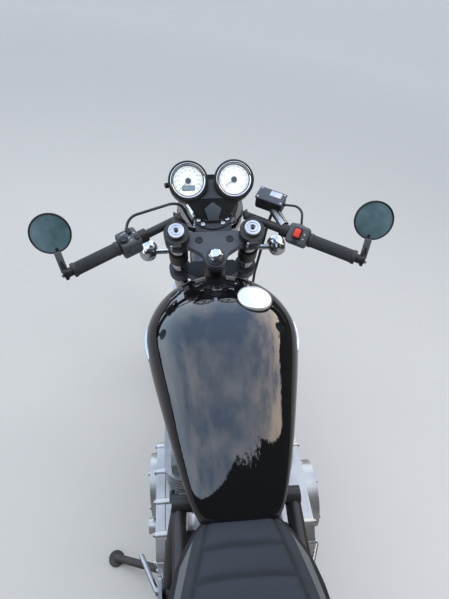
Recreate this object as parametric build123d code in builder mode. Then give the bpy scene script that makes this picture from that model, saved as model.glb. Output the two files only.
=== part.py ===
from build123d import *
from math import acos, atan2, cos, pi, radians, sin, sqrt, tan
import os

# A cafe racer motorcycle on its side stand. It is drawn upright, X forward from the rear axle,
# Y to the left and Z up from the road, and leaned onto its stand at the very end.

# Stance
wheelbase = 1490
rake = 27
fork_offset = 58.2
fork_spread = 94.6
lean = 9

# Tyres: radius, width, rim seat radius and width over the beads
front_tyre_radius = 319
front_tyre_width = 100
front_rim_radius = 228.5
front_bead_width = 62
rear_tyre_radius = 320
rear_tyre_width = 130
rear_rim_radius = 216
rear_bead_width = 86
rim_lip = 5
rim_depth = 22
rim_well = 24
spoke_count = 36
spoke_radius = 2

# Hubs: half the distance over the flanges and the bearings, and their radii
front_flange_half = 33
front_flange_radius = 46
front_barrel_radius = 27
front_hub_half = 56
rear_flange_half = 40
rear_flange_radius = 62
rear_barrel_radius = 36
rear_hub_half = 76
flange_edge = 4
bearing_radius = 21
axle_radius = 10
axle_bore_radius = 6
front_axle_half = 122
running_gap = 0.3
face_gap = 0.3

# Fork, measured up the leg from the front axle
stanchion_radius = 20.5
slider_radius = 26
slider_top = 362
lower_yoke_top = 508
lower_yoke_height = 36
upper_yoke_top = 683
upper_yoke_height = 24
clip_on_height = 28
cap_top = 721
stem_radius = 15
head_tube_radius = 29
bearing_gap = 2.5
race_radius = 26
head_base = lower_yoke_top + bearing_gap
head_top = upper_yoke_top - upper_yoke_height - bearing_gap

# Engine block
engine_x = 775
crankcase_half = 118
crankcase_bottom = 212
barrel_bottom = 478
barrel_height = 120
barrel_length = 150
barrel_half = 118
fin_reach = 24
fin_thickness = 3.5
barrel_fins = 9
head_fins = 5
head_height = 72
cam_cover_height = 52

# Final drive
chain_pitch = 15.875
front_teeth = 17
rear_teeth = 43
chain_line = 95
chain_width = 17
plate_half = 7.5
waist_half = 5
output_x = 610
output_z = 385
sprocket_thickness = 6

# Swingarm and rear suspension
pivot_x = 545
pivot_z = 378
arm_line = 120
arm_width = 22
arm_depth = 46
arm_tail = 62
shock_line = 153
shock_foot_x = 40
shock_foot_rise = 29.7
shock_head_x = 135
shock_head_z = 690
coil_radius = 29
coil_count = 8

# Brakes
front_disc_radius = 160
rear_disc_radius = 127.5
disc_thickness = 5
front_disc_line = -57
rear_disc_line = -88

# Frame tubes
spine_radius = 22
cradle_radius = 15
rail_radius = 13
plate_thickness = 8

# Tank and saddle
tank_base = 765
tunnel_half = 34
cap_x = 973
cap_y = -73
cap_radius = 40

# Handlebars: inner and outer ends of the left bar, as (forward, side, up) on the fork
bar_root = (102.9, 98, 693.3)
bar_tip = (-41.8, 352, 719.9)
bar_radius = 11
grip_radius = 16
grip_length = 122
mirror_place = (33.3, 378, 777)
mirror_radius = 47

# Clocks and lamps: the left clock's face as (forward, side, up) on the fork
clock_place = (182.9, 56, 746.8)
clock_tilt = 40
clock_radius = 46.5
clock_depth = 52
headlamp_forward = 193
headlamp_up = 575
headlamp_radius = 92
indicator_forward = 68
indicator_up = 592
indicator_spread = 176

# Exhaust
header_radius = 21
silencer_radius = 45

# Side stand, deployed
stand_pivot = (640, 130, 168)
stand_foot = (736, 337)
stand_radius = 11
stand_stowed = (388, 160, 172)


# Directions up the fork and square to it, and places along it
rake_sin = sin(radians(rake))
rake_cos = cos(radians(rake))
fork_up = Vector(-rake_sin, 0, rake_cos)
fork_front = Vector(rake_cos, 0, rake_sin)
front_axle_centre = Vector(wheelbase, 0, front_tyre_radius)
rear_axle_centre = Vector(0, 0, rear_tyre_radius)
steering_foot = front_axle_centre - fork_front * fork_offset

# The side stand's pivot, its reach when it is out and when it is folded, and the axis it turns on
foot_point = Vector(stand_foot[0], stand_foot[1], stand_foot[1] * tan(radians(lean)))
pivot_point = Vector(*stand_pivot)
stand_reach = (foot_point - pivot_point).normalized()
stowed_reach = (Vector(*stand_stowed) - pivot_point).normalized()
stand_axis = stand_reach.cross(stowed_reach).normalized()
floor_normal = Vector(0, -sin(radians(lean)), cos(radians(lean)))


def fork_plane(up, side=0, forward=0):
    """The plane square to the fork at a height up it, on the steering axis or to one side."""
    centre = steering_foot + fork_up * up + fork_front * forward + Vector(0, side, 0)
    return Plane(centre, x_dir=fork_front, z_dir=fork_up)


def on_fork(place, side=1):
    """A place given as (forward, side, up) on the fork, or the same on the other side (-1)."""
    return fork_plane(place[2], side * place[1], place[0]).origin


def leg_plane(up, side):
    """The same plane on the centre line of the left (+1) or right (-1) fork leg."""
    return fork_plane(up, side * fork_spread, fork_offset)


def side_plane(y):
    """The upright plane at y. What is extruded from it grows to the right."""
    return Plane((0, y, 0), x_dir=(1, 0, 0), z_dir=(0, -1, 0))


def mirrored(point):
    """The same place on the right of the machine."""
    return (point.X, -point.Y, point.Z)


def rod(start, end, size, bore=0, mode=Mode.ADD):
    """A round bar or tube between two places."""
    run = Vector(*end) - Vector(*start)
    with BuildSketch(Plane(Vector(*start), z_dir=run)) as section:
        Circle(size)
        if bore:
            Circle(bore, mode=Mode.SUBTRACT)
    extrude(section.sketch, amount=run.length, mode=mode)


def bent_tube(points, radius, size):
    """A round tube along straight runs joined by arcs of one radius."""
    with BuildLine() as route:
        FilletPolyline(*points, radius=radius)
    with BuildSketch(Plane(route.line @ 0, z_dir=route.line % 0)) as section:
        Circle(size)
    sweep(section.sketch, path=route.line)


def turned(plane, outline):
    """An outline of (radius, height) points turned about the plane's normal."""
    with BuildSketch(Plane(plane.origin, x_dir=plane.x_dir, z_dir=-plane.y_dir)) as section:
        with BuildLine():
            Polyline(*outline, close=True)
        make_face()
    revolve(section.sketch, axis=Axis(plane.origin, plane.z_dir))


def turned_between(start, end, outline):
    """The same, about the line from start to end, with heights from start."""
    turned(Plane(Vector(*start), z_dir=Vector(*end) - Vector(*start)), outline)


def side_panel(outline, corner, outer, thickness):
    """A flat panel with rounded corners, its outer face at y = outer, growing to the right."""
    with BuildSketch(side_plane(outer)) as section:
        with BuildLine():
            Polyline(*outline, close=True)
        make_face()
        fillet(section.vertices(), corner)
    extrude(section.sketch, amount=thickness)


# Wheels
def wheel_plane(centre, y=0):
    """The plane of a wheel, its normal to the left."""
    return Plane(centre + Vector(0, y, 0), x_dir=(1, 0, 0), z_dir=(0, 1, 0))


# Half a tyre's section as (drop from the crown, reach to the side), both over the tyre's width
tyre_flats = [(0, 0.1), (0.035, 0.27), (0.1, 0.38), (0.2, 0.45), (0.4, 0.5)]


def tyre_ring(centre, radius, width, bead_radius, bead_width):
    """A tyre with a crown and walls of flats, down to its beads."""
    half = [(radius - drop * width, reach * width) for drop, reach in tyre_flats]
    half.append((bead_radius, bead_width / 2))
    turned(wheel_plane(centre), half + [(along, -across) for along, across in reversed(half)])


def spoked_wheel(centre, rim_radius, bead_width, flange_half, flange_radius, barrel_radius, hub_half):
    """A rim, a hub and crossed spokes, in one piece."""
    seat = rim_radius - face_gap
    half = bead_width / 2 + rim_lip
    well_radius = seat - rim_depth
    turned(wheel_plane(centre), [
        (seat, -half), (seat, half), (seat - 0.5 * rim_depth, half - rim_lip / 2),
        (well_radius, rim_well / 2), (well_radius, -rim_well / 2),
        (seat - 0.5 * rim_depth, rim_lip / 2 - half)])
    bore = axle_radius + running_gap
    turned(wheel_plane(centre), [
        (bore, -hub_half), (bearing_radius, -hub_half), (bearing_radius, -flange_half - flange_edge),
        (flange_radius, -flange_half - flange_edge), (flange_radius, flange_edge - flange_half),
        (barrel_radius, flange_edge - flange_half), (barrel_radius, flange_half - flange_edge),
        (flange_radius, flange_half - flange_edge), (flange_radius, flange_half + flange_edge),
        (bearing_radius, flange_half + flange_edge), (bearing_radius, hub_half), (bore, hub_half)])
    for number in range(spoke_count):
        side = 1 if number % 2 else -1
        lead = 1 if number % 4 < 2 else -1
        angle = 2 * pi * number / spoke_count
        root = angle + lead * spoke_cross
        inner = centre + Vector(cos(root), 0, sin(root)) * (flange_radius - 5) + Vector(0, side * flange_half, 0)
        outer = centre + Vector(cos(angle), 0, sin(angle)) * (well_radius + 3) + Vector(0, side * 6, 0)
        with BuildSketch(Plane(inner, z_dir=outer - inner)) as section:
            RegularPolygon(spoke_radius, 5)
        extrude(section.sketch, amount=(outer - inner).length)


spoke_cross = radians(62)

with BuildPart() as front_tyre:
    tyre_ring(front_axle_centre, front_tyre_radius, front_tyre_width, front_rim_radius, front_bead_width)

with BuildPart() as rear_tyre:
    tyre_ring(rear_axle_centre, rear_tyre_radius, rear_tyre_width, rear_rim_radius, rear_bead_width)

with BuildPart() as front_wheel:
    spoked_wheel(front_axle_centre, front_rim_radius, front_bead_width, front_flange_half, front_flange_radius,
                 front_barrel_radius, front_hub_half)

with BuildPart() as rear_wheel:
    spoked_wheel(rear_axle_centre, rear_rim_radius, rear_bead_width, rear_flange_half, rear_flange_radius,
                 rear_barrel_radius, rear_hub_half)


def brake_disc(centre, line, radius, inner_radius, carrier_radius, arms):
    """A disc with a ring for the pads and a carrier with arms, its inner face at y = line."""
    with BuildSketch(side_plane(line + disc_thickness)) as section:
        with Locations((centre.X, centre.Z)):
            Circle(radius)
            Circle(inner_radius, mode=Mode.SUBTRACT)
            with PolarLocations(inner_radius / 2 + carrier_radius / 2, arms):
                Rectangle(inner_radius - carrier_radius + 12, 18)
            Circle(carrier_radius)
            Circle(bearing_radius + face_gap, mode=Mode.SUBTRACT)
    extrude(section.sketch, amount=disc_thickness)


with BuildPart() as front_disc:
    brake_disc(front_axle_centre, front_disc_line, front_disc_radius, 122, 62, 6)
    # The carrier's boss reaches the hub flange
    flange_face = Vector(0, -front_flange_half - flange_edge - face_gap, 0)
    rod(front_axle_centre + flange_face, front_axle_centre + Vector(0, front_disc_line + disc_thickness, 0),
        front_flange_radius - 2, bearing_radius + face_gap)

with BuildPart() as rear_disc:
    brake_disc(rear_axle_centre, rear_disc_line, rear_disc_radius, 92, 58, 6)
    flange_face = Vector(0, -rear_flange_half - flange_edge - face_gap, 0)
    rod(rear_axle_centre + flange_face, rear_axle_centre + Vector(0, rear_disc_line + disc_thickness, 0),
        46, bearing_radius + face_gap)

# Chain drive: the belt line runs round both pitch circles, and the plates pinch in between the pins
front_pitch_radius = chain_pitch / (2 * sin(pi / front_teeth))
rear_pitch_radius = chain_pitch / (2 * sin(pi / rear_teeth))
output = Vector(output_x, 0, output_z)
drive_reach = (output - rear_axle_centre).length
drive_angle = atan2(output.Z - rear_axle_centre.Z, output.X - rear_axle_centre.X)
wrap_lean = acos((rear_pitch_radius - front_pitch_radius) / drive_reach)
belt_run = sqrt(drive_reach ** 2 - (rear_pitch_radius - front_pitch_radius) ** 2)
front_wrap = 2 * wrap_lean * front_pitch_radius
rear_wrap = 2 * (pi - wrap_lean) * rear_pitch_radius
belt_length = 2 * belt_run + front_wrap + rear_wrap
chain_links = 2 * round(belt_length / chain_pitch / 2)


def belt_place(distance):
    """A place on the belt line and its outward direction, starting on top of the front sprocket."""
    if distance < belt_run:
        turn = drive_angle + wrap_lean
        along = output.X + front_pitch_radius * cos(turn), output.Z + front_pitch_radius * sin(turn)
        return along[0] + distance * cos(turn + pi / 2), along[1] + distance * sin(turn + pi / 2), turn
    if distance < belt_run + rear_wrap:
        turn = drive_angle + wrap_lean + (distance - belt_run) / rear_pitch_radius
        x = rear_axle_centre.X + rear_pitch_radius * cos(turn)
        return x, rear_axle_centre.Z + rear_pitch_radius * sin(turn), turn
    if distance < 2 * belt_run + rear_wrap:
        turn = drive_angle - wrap_lean
        left = distance - belt_run - rear_wrap
        x = rear_axle_centre.X + rear_pitch_radius * cos(turn) + left * cos(turn + pi / 2)
        return x, rear_axle_centre.Z + rear_pitch_radius * sin(turn) + left * sin(turn + pi / 2), turn
    turn = drive_angle - wrap_lean + (distance - 2 * belt_run - rear_wrap) / front_pitch_radius
    return output.X + front_pitch_radius * cos(turn), output.Z + front_pitch_radius * sin(turn), turn


def chain_edge(side):
    """The outer (+1) or inner (-1) edge of the chain, full at the pins and pinched between them."""
    points = []
    for step in range(2 * chain_links):
        x, z, turn = belt_place(step * belt_length / (2 * chain_links))
        reach = side * (waist_half if step % 2 else plate_half)
        points.append((x + reach * cos(turn), z + reach * sin(turn)))
    return points


with BuildPart() as drive_chain:
    with BuildSketch(side_plane(chain_line + chain_width / 2)) as section:
        with BuildLine():
            Polyline(*chain_edge(1), close=True)
        make_face()
        with BuildLine():
            Polyline(*chain_edge(-1), close=True)
        make_face(mode=Mode.SUBTRACT)
    extrude(section.sketch, amount=chain_width)

with BuildPart() as rear_sprocket:
    tip = rear_pitch_radius - plate_half - 2 * running_gap
    with BuildSketch(side_plane(chain_line + sprocket_thickness / 2)) as section:
        with Locations((0, rear_tyre_radius)):
            Circle(tip)
            with PolarLocations(tip + 1, rear_teeth):
                RegularPolygon(4, 3, mode=Mode.SUBTRACT)
            with PolarLocations(70, 5):
                SlotOverall(40, 24, rotation=90, mode=Mode.SUBTRACT)
            Circle(bearing_radius + face_gap, mode=Mode.SUBTRACT)
    extrude(section.sketch, amount=sprocket_thickness)
    rod(rear_axle_centre + Vector(0, rear_flange_half + flange_edge + face_gap, 0),
        rear_axle_centre + Vector(0, chain_line - sprocket_thickness / 2, 0), 48, bearing_radius + face_gap)

# Axles
with BuildPart() as front_axle:
    axle_end = Vector(0, front_axle_half, 0)
    rod(front_axle_centre + axle_end, front_axle_centre - axle_end, axle_radius, axle_bore_radius)

with BuildPart() as rear_axle:
    rear_axle_half = arm_line + arm_width / 2 + 12
    rod(rear_axle_centre + Vector(0, rear_axle_half, 0), rear_axle_centre - Vector(0, rear_axle_half, 0), axle_radius)

# Fork legs
with BuildPart() as fork_tubes:
    for side in (1, -1):
        turned(leg_plane(0, side), [
            (0, slider_top), (stanchion_radius, slider_top), (stanchion_radius, cap_top - 8),
            (stanchion_radius - 1.5, cap_top), (0, cap_top)])

with BuildPart() as fork_sliders:
    for side in (1, -1):
        turned(leg_plane(0, side), [
            (0, -30), (22, -30), (slider_radius, 60), (slider_radius, slider_top - 40),
            (29, slider_top - 34), (29, slider_top), (0, slider_top)])
        boss = front_axle_centre + Vector(0, side * (fork_spread + 25), 0)
        rod(boss, boss - Vector(0, side * 50, 0), 23)
    for up in (70, 150):
        rod(leg_plane(up, -1).origin, leg_plane(up, -1).origin - fork_front * 70, 8)
    rod(front_axle_centre + Vector(0, 140, 0), front_axle_centre - Vector(0, 140, 0), axle_radius, mode=Mode.SUBTRACT)

# Yokes: a plate shaped round the legs and the stem
yoke_web = [(74, 62), (44, 88), (30, 62), (12, 34), (-20, 20)]
yoke_outline = yoke_web + [(x, -y) for x, y in reversed(yoke_web)]


def yoke(base, height, clamp_radius):
    """A yoke with clamps round both legs and a hole for the stem."""
    with BuildSketch(fork_plane(base)) as section:
        with BuildLine():
            Polyline(*yoke_outline, close=True)
        make_face()
        fillet(section.vertices(), 6)
        Circle(27)
        with Locations((fork_offset, fork_spread), (fork_offset, -fork_spread)):
            Circle(clamp_radius)
            Circle(stanchion_radius, mode=Mode.SUBTRACT)
        Circle(stem_radius, mode=Mode.SUBTRACT)
    extrude(section.sketch, amount=height)


with BuildPart() as top_yoke:
    yoke(upper_yoke_top - upper_yoke_height, upper_yoke_height, 31)
    for side in (1, -1):
        place = fork_plane(upper_yoke_top, side * 39, 50)
        rod(place.origin, place.origin - fork_up * 10, 7, mode=Mode.SUBTRACT)

with BuildPart() as bottom_yoke:
    yoke(lower_yoke_top - lower_yoke_height, lower_yoke_height, 31)
    # The stem is pressed in it, with the nut over the top yoke
    nut_base = upper_yoke_top + face_gap
    turned(fork_plane(0), [
        (0, lower_yoke_top - lower_yoke_height - 4), (stem_radius, lower_yoke_top - lower_yoke_height - 4),
        (stem_radius, nut_base), (19, nut_base), (19, nut_base + 4), (15, nut_base + 6),
        (14, nut_base + 18), (0, nut_base + 20)])
    # The bearing races that the headstock turns on
    for low, high in ((lower_yoke_top, head_base - face_gap), (head_top + face_gap, head_top + bearing_gap - face_gap)):
        turned(fork_plane(0), [
            (stem_radius - 1, low), (race_radius, low), (race_radius, high), (stem_radius - 1, high)])

# Handlebars, each side along its own bar
def bar_sides():
    """For each side: its sign, the bar's inner end and its outer end."""
    for side in (1, -1):
        root = on_fork(bar_root, side)
        tip = on_fork(bar_tip, side)
        yield side, root, tip, (tip - root).normalized()


clamp_base = upper_yoke_top + face_gap
weight_length = 13
grip_start = weight_length + 0.5
housing_start = grip_start + grip_length + 2
housing_length = 50
perch_start = housing_start + housing_length + 4
perch_length = 20
lever_reach = Vector(0.82, 0, -0.57)

with BuildPart() as clip_ons:
    for side, root, tip, out in bar_sides():
        clamp = leg_plane(clamp_base, side)
        with BuildSketch(clamp) as section:
            Circle(32)
            Circle(stanchion_radius, mode=Mode.SUBTRACT)
        extrude(section.sketch, amount=clip_on_height)
        rod(root - out * 18, tip, bar_radius)
        lug = leg_plane(clamp_base + clip_on_height / 2, side).origin
        rod(lug + fork_front * 26, root, 12.5)

with BuildPart() as grips:
    for side, root, tip, out in bar_sides():
        rod(tip - out * grip_start, tip - out * (grip_start + grip_length), grip_radius, bar_radius)

with BuildPart() as switch_housings:
    for side, root, tip, out in bar_sides():
        near = tip - out * housing_start
        with BuildSketch(Plane(near, x_dir=(0, 0, 1), z_dir=-out)) as section:
            RectangleRounded(46, 40, 11)
            Circle(bar_radius, mode=Mode.SUBTRACT)
        extrude(section.sketch, amount=housing_length)

with BuildPart() as lever_sets:
    for side, root, tip, out in bar_sides():
        near = tip - out * perch_start
        rod(near, near - out * perch_length, 17, bar_radius)
        pivot = near - out * perch_length / 2 + lever_reach * 42
        rod(near - out * perch_length / 2 + lever_reach * 16, pivot, 9)
        rod(pivot, tip - out * 8 + lever_reach * 46, 6)
    for side, root, tip, out in bar_sides():
        if side < 0:
            reservoir = Plane(on_fork((137.3, 150, 692.6), side), x_dir=out, z_dir=(-0.25, 0, 0.97))
            with BuildSketch(reservoir) as section:
                RectangleRounded(72, 42, 8)
            extrude(section.sketch, amount=30)
            foot = tip - out * (perch_start + perch_length / 2)
            rod(foot + Vector(0.6, 0, 0.8) * 12, reservoir.origin + Vector(-6, -2, 2), 12)
    add(clip_ons.part, mode=Mode.SUBTRACT)

with BuildPart() as mirrors:
    for side, root, tip, out in bar_sides():
        face = Vector(-0.92, -0.12 * side, 0.37).normalized()
        centre = on_fork(mirror_place, side)
        turned(Plane(centre, z_dir=face), [
            (0, -9), (30, -9), (mirror_radius, -3), (mirror_radius, 0), (0, 0)])
        rod(tip + out * 0.3, tip + out * 8, 15)
        edge = centre - face * 7 + (tip - centre).normalized() * 30
        rod(tip + out * 4, edge, 5)
    add(clip_ons.part, mode=Mode.SUBTRACT)
    add(grips.part, mode=Mode.SUBTRACT)

# Clocks
tilt = radians(clock_tilt)
clock_axis = Vector(-cos(tilt), 0, sin(tilt))

# The horseshoe plate's left half as (forward, side), from its inside round to its outside
horseshoe = [(99, 10), (106, 22), (116, 34), (116, 50), (98, 46), (84, 28), (79, 8)]
bracket_forward = 94.3

with BuildPart() as instruments:
    for side in (1, -1):
        centre = on_fork(clock_place, side)
        turned(Plane(centre, x_dir=(0, 1, 0), z_dir=clock_axis), [
            (0, -clock_depth), (30, -clock_depth), (43, -34), (clock_radius, -2.3), (0, -2.3)])
    back = fork_plane(clock_place[2], 0, clock_place[0]).origin - clock_axis * clock_depth
    with BuildSketch(Plane(back, x_dir=(0, 1, 0), z_dir=-clock_axis)) as section:
        SlotCenterToCenter(2 * clock_place[1], 52)
    extrude(section.sketch, amount=6)
    # The bracket: a foot ahead of the top yoke, a neck up to the clocks and a raised pad on the neck
    with BuildSketch(fork_plane(upper_yoke_top - 10)) as section:
        with Locations((bracket_forward, 0)):
            RectangleRounded(40, 92, 8)
    extrude(section.sketch, amount=10)
    with BuildSketch(fork_plane(upper_yoke_top)) as section:
        with BuildLine():
            Polyline(*horseshoe, *[(x, -y) for x, y in reversed(horseshoe)], close=True)
        make_face()
    extrude(section.sketch, amount=4)
    rise = Vector(sin(tilt), 0, cos(tilt)) * 18
    neck = [fork_plane(upper_yoke_top - 6, 0, 84).origin, fork_plane(upper_yoke_top - 6, 0, 112).origin, back - rise,
            back + rise, fork_plane(upper_yoke_top + 9, 0, 152).origin, fork_plane(upper_yoke_top + 9, 0, 99).origin]
    side_panel([(corner.X, corner.Z) for corner in neck], 3, 24, 48)
    with BuildSketch(fork_plane(upper_yoke_top + 7)) as section:
        with BuildLine():
            Polyline((150, 0), (135, 19), (101, 10), (101, -10), (135, -19), close=True)
        make_face()
    extrude(section.sketch, amount=4)

with BuildPart() as instrument_bezels:
    for side in (1, -1):
        centre = on_fork(clock_place, side)
        turned(Plane(centre, x_dir=(0, 1, 0), z_dir=clock_axis), [
            (0, -2), (clock_radius, -2), (clock_radius, 4), (clock_radius - 4, 5), (clock_radius - 5, 0), (0, 0)])

# Headlamp and its brackets
headlamp_centre = fork_plane(headlamp_up, 0, headlamp_forward).origin
headlamp_plane = Plane(headlamp_centre, x_dir=(0, 1, 0), z_dir=(1, 0, 0))

with BuildPart() as headlamp_bowl:
    turned(headlamp_plane, [
        (0, -98), (34, -94), (66, -74), (86, -36), (headlamp_radius, 0), (headlamp_radius + 3, 2),
        (headlamp_radius + 3, 14), (headlamp_radius - 6, 20), (headlamp_radius - 6, 10), (0, 10)])

with BuildPart() as headlamp_lens:
    turned(headlamp_plane, [
        (0, 10.3), (headlamp_radius - 6.3, 10.3), (headlamp_radius - 6.3, 16), (60, 25), (30, 30), (0, 31)])

ear_line = fork_spread + 8
with BuildPart() as headlamp_brackets:
    for side in (1, -1):
        with BuildSketch(leg_plane(indicator_up - 24, side)) as section:
            Circle(26)
            Circle(stanchion_radius, mode=Mode.SUBTRACT)
        extrude(section.sketch, amount=48)
        start = leg_plane(indicator_up, side).origin + fork_front * 35
        end = Vector(headlamp_centre.X - 12, 0, headlamp_centre.Z)
        run = Vector(end.X - start.X, 0, end.Z - start.Z)
        with BuildSketch(Plane(Vector(start.X, side * ear_line + 3, start.Z), x_dir=run, z_dir=(0, -1, 0))) as section:
            with Locations((run.length / 2, 0)):
                SlotCenterToCenter(run.length, 24)
        extrude(section.sketch, amount=6)
        boss = Vector(end.X, side * ear_line, end.Z)
        rod(boss, Vector(end.X, side * (headlamp_radius + 0.3), end.Z), 9)

with BuildPart() as front_indicators:
    for side in (1, -1):
        stalk = fork_plane(indicator_up, side * (fork_spread + 26 + face_gap), indicator_forward).origin
        head = Vector(stalk.X, side * indicator_spread, stalk.Z)
        rod(stalk, head, 7)
        turned(Plane(head, x_dir=(0, 1, 0), z_dir=(1, 0, 0)), [
            (0, -26), (12, -24), (21, -14), (25, 4), (25, 20), (0, 26)])


def guard(centre, radius, half, drop, skin, start, arc):
    """A mudguard: an arched strip turned part of the way round a wheel."""
    direction = Vector(cos(radians(start)), 0, sin(radians(start)))
    outer = [(radius - drop, half), (radius - 6, half * 0.84), (radius, half * 0.4)]
    inner = [(radius - drop, half - skin), (radius - 6 - skin, half * 0.84 - skin), (radius - skin, half * 0.4)]
    outline = outer + [(x, -y) for x, y in reversed(outer)] + inner_back(inner)
    with BuildSketch(Plane(centre, x_dir=direction, z_dir=direction.cross(Vector(0, 1, 0)))) as section:
        with BuildLine():
            Polyline(*outline, close=True)
        make_face()
    revolve(section.sketch, axis=Axis(centre, (0, -1, 0)), revolution_arc=arc)


def inner_back(inner):
    """The inside of a mudguard's section, from its right edge back to its left."""
    return [(x, -y) for x, y in inner] + list(reversed(inner))


with BuildPart() as front_mudguard:
    guard_radius = front_tyre_radius + 18
    guard(front_axle_centre, guard_radius, 60, 30, 3, 58, 112)
    for side in (1, -1):
        for angle in (80, 118, 160):
            reach = guard_radius - 24
            high = front_axle_centre + Vector(cos(radians(angle)) * reach, side * 60, sin(radians(angle)) * reach)
            up = 200 if angle > 100 else 130
            low = leg_plane(up, side).origin - Vector(0, side * (slider_radius + 4), 0)
            rod(low, high, 4)

with BuildPart() as front_caliper:
    # Behind the right leg, straddling the disc, on a lug from the slider
    angle = radians(152)
    pad_radius = front_disc_radius - 18
    caliper = front_axle_centre + Vector(cos(angle) * pad_radius, 0, sin(angle) * pad_radius)
    caliper_plane = Plane((caliper.X, front_disc_line + disc_thickness + 22, caliper.Z),
                          x_dir=(cos(angle), 0, sin(angle)), z_dir=(0, -1, 0))
    with BuildSketch(caliper_plane) as section:
        RectangleRounded(62, 104, 12)
    extrude(section.sketch, amount=68)
    with BuildSketch(side_plane(front_disc_line + disc_thickness + 2)) as section:
        with Locations((front_axle_centre.X, front_axle_centre.Z)):
            Circle(front_disc_radius + 4)
    extrude(section.sketch, amount=disc_thickness + 4, mode=Mode.SUBTRACT)
    add(fork_sliders.part, mode=Mode.SUBTRACT)

# The hose drops from the reservoir past the lower yoke's right clamp to the caliper
hose_radius = 4
hose_turn = 60
clamp_side = Vector(0, -31 - hose_radius - face_gap, 0)
with BuildPart() as brake_hose:
    bent_tube([(1252, -168, 980), (1256, -150, 905), (1256, -142, 850), leg_plane(531, -1).origin + clamp_side,
               leg_plane(440, -1).origin + clamp_side, (1325, -130, 600), (1345, -112, 500), (1374, -80, 425)],
              hose_turn, hose_radius)
    add(lever_sets.part, mode=Mode.SUBTRACT)
    add(front_caliper.part, mode=Mode.SUBTRACT)

# The left switches' loom, round the front of the fork cap to the headlamp, and the brake switch's wire
# between the right switches and the reservoir, by places as (forward, side, up) on the fork
loom_radius = 3.5
loom_turn = 36
wire_radius = 3
wire_turn = 26
with BuildPart() as switch_looms:
    loom = [(50, 218, 704), (104, 214, 716), (140, 84, 724), (128, 50, 616)]
    bent_tube([on_fork(place) for place in loom], loom_turn, loom_radius)
    wire = [(50, 218, 704), (112, 228, 722), (128, 165, 712)]
    bent_tube([on_fork(place, -1) for place in wire], wire_turn, wire_radius)
    add(switch_housings.part, mode=Mode.SUBTRACT)
    add(lever_sets.part, mode=Mode.SUBTRACT)
    add(headlamp_bowl.part, mode=Mode.SUBTRACT)

# Frame: headstock, backbone, two cradles and the rails under the saddle
spine_end = Vector(592, 0, 742)
rail_line = 108
cradle_foot_z = crankcase_bottom - cradle_radius - 2
cradle_foot_y = 84
pivot_line = 150

with BuildPart() as frame_spine:
    rod(fork_plane(head_base).origin, fork_plane(head_top).origin, head_tube_radius)
    spine_start = fork_plane(head_top - 48).origin
    bent_tube([spine_start, Vector(1010, 0, 800), Vector(760, 0, 778), spine_end], 60, spine_radius)
    rod(spine_end + Vector(0, rail_line + 12, 0), spine_end - Vector(0, rail_line + 12, 0), 16)
    # Rubber seats for the tank, in its tunnel and under its tail
    rod((1060, tunnel_half - face_gap, 812), (1060, face_gap - tunnel_half, 812), 9)
    for side in (1, -1):
        rod((600, side * 50, 742), (600, side * 50, tank_base - face_gap), 9)
    rod(fork_plane(head_base - 1).origin, fork_plane(head_top + 1).origin, stem_radius + bearing_gap,
        mode=Mode.SUBTRACT)

with BuildPart() as frame_cradles:
    for side in (1, -1):
        bent_tube([fork_plane(head_base + 50, side * 20).origin, Vector(1000, side * 66, 352),
                   Vector(944, side * 78, cradle_foot_z),
                   Vector(606, side * cradle_foot_y, cradle_foot_z), Vector(546, side * pivot_line, 290),
                   Vector(548, side * pivot_line, 420), Vector(574, side * 128, 600),
                   Vector(586, side * rail_line, 728)], 44, cradle_radius)
        with BuildSketch(side_plane(side * pivot_line + plate_thickness / 2)) as section:
            with Locations((pivot_x, pivot_z)):
                RectangleRounded(62, 128, 20)
        extrude(section.sketch, amount=plate_thickness)
    # The engine rests on two cross tubes
    for x in (900, 650):
        z = crankcase_bottom - face_gap - 11
        rod((x, cradle_foot_y, z), (x, -cradle_foot_y, z), 11)
    rod((pivot_x, pivot_line + 6, pivot_z), (pivot_x, -pivot_line - 6, pivot_z), axle_radius)
    rod(fork_plane(head_base).origin, fork_plane(head_top).origin, head_tube_radius, mode=Mode.SUBTRACT)
    add(frame_spine.part, mode=Mode.SUBTRACT)
    # The side stand's lug: two webs off the left cradle, with the pivot pin between them
    inward = Vector(0, -1, 0) + stand_axis * stand_axis.Y
    root = pivot_point + inward * ((cradle_foot_y - stand_pivot[1]) / inward.Y)
    for side in (1, -1):
        rod(pivot_point + stand_axis * side * 7.4, pivot_point + stand_axis * side * 13.4, 15)
        rod(pivot_point + stand_axis * side * 12.6, root + stand_axis * side * 12.6, 5)
    rod(pivot_point - stand_axis * 13, pivot_point + stand_axis * 13, 6)

rail_path = [Vector(586, 108, 735), Vector(520, 108, 728), Vector(150, 112, 724), Vector(-30, 108, 752),
             Vector(-112, 96, 768)]
with BuildPart() as seat_rails:
    bent_tube(rail_path + [Vector(*mirrored(point)) for point in reversed(rail_path)], 40, rail_radius)
    for side in (1, -1):
        head = Vector(shock_head_x, side * (shock_line - 13), shock_head_z)
        rod(head, head - Vector(0, side * 34, 0), 12)
        rod(head - Vector(0, side * 28, 0), Vector(shock_head_x + 6, side * 112, 724), 11)
    rod((330, 112, 726), (330, -112, 726), 9)
    # Pads under the saddle
    for side in (1, -1):
        rod((150, side * 98, 724), (150, side * 98, 748), 9)
        rod((150, side * 98, 724), (150, side * 112, 724), 8)
    add(frame_spine.part, mode=Mode.SUBTRACT)
    add(frame_cradles.part, mode=Mode.SUBTRACT)

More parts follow.
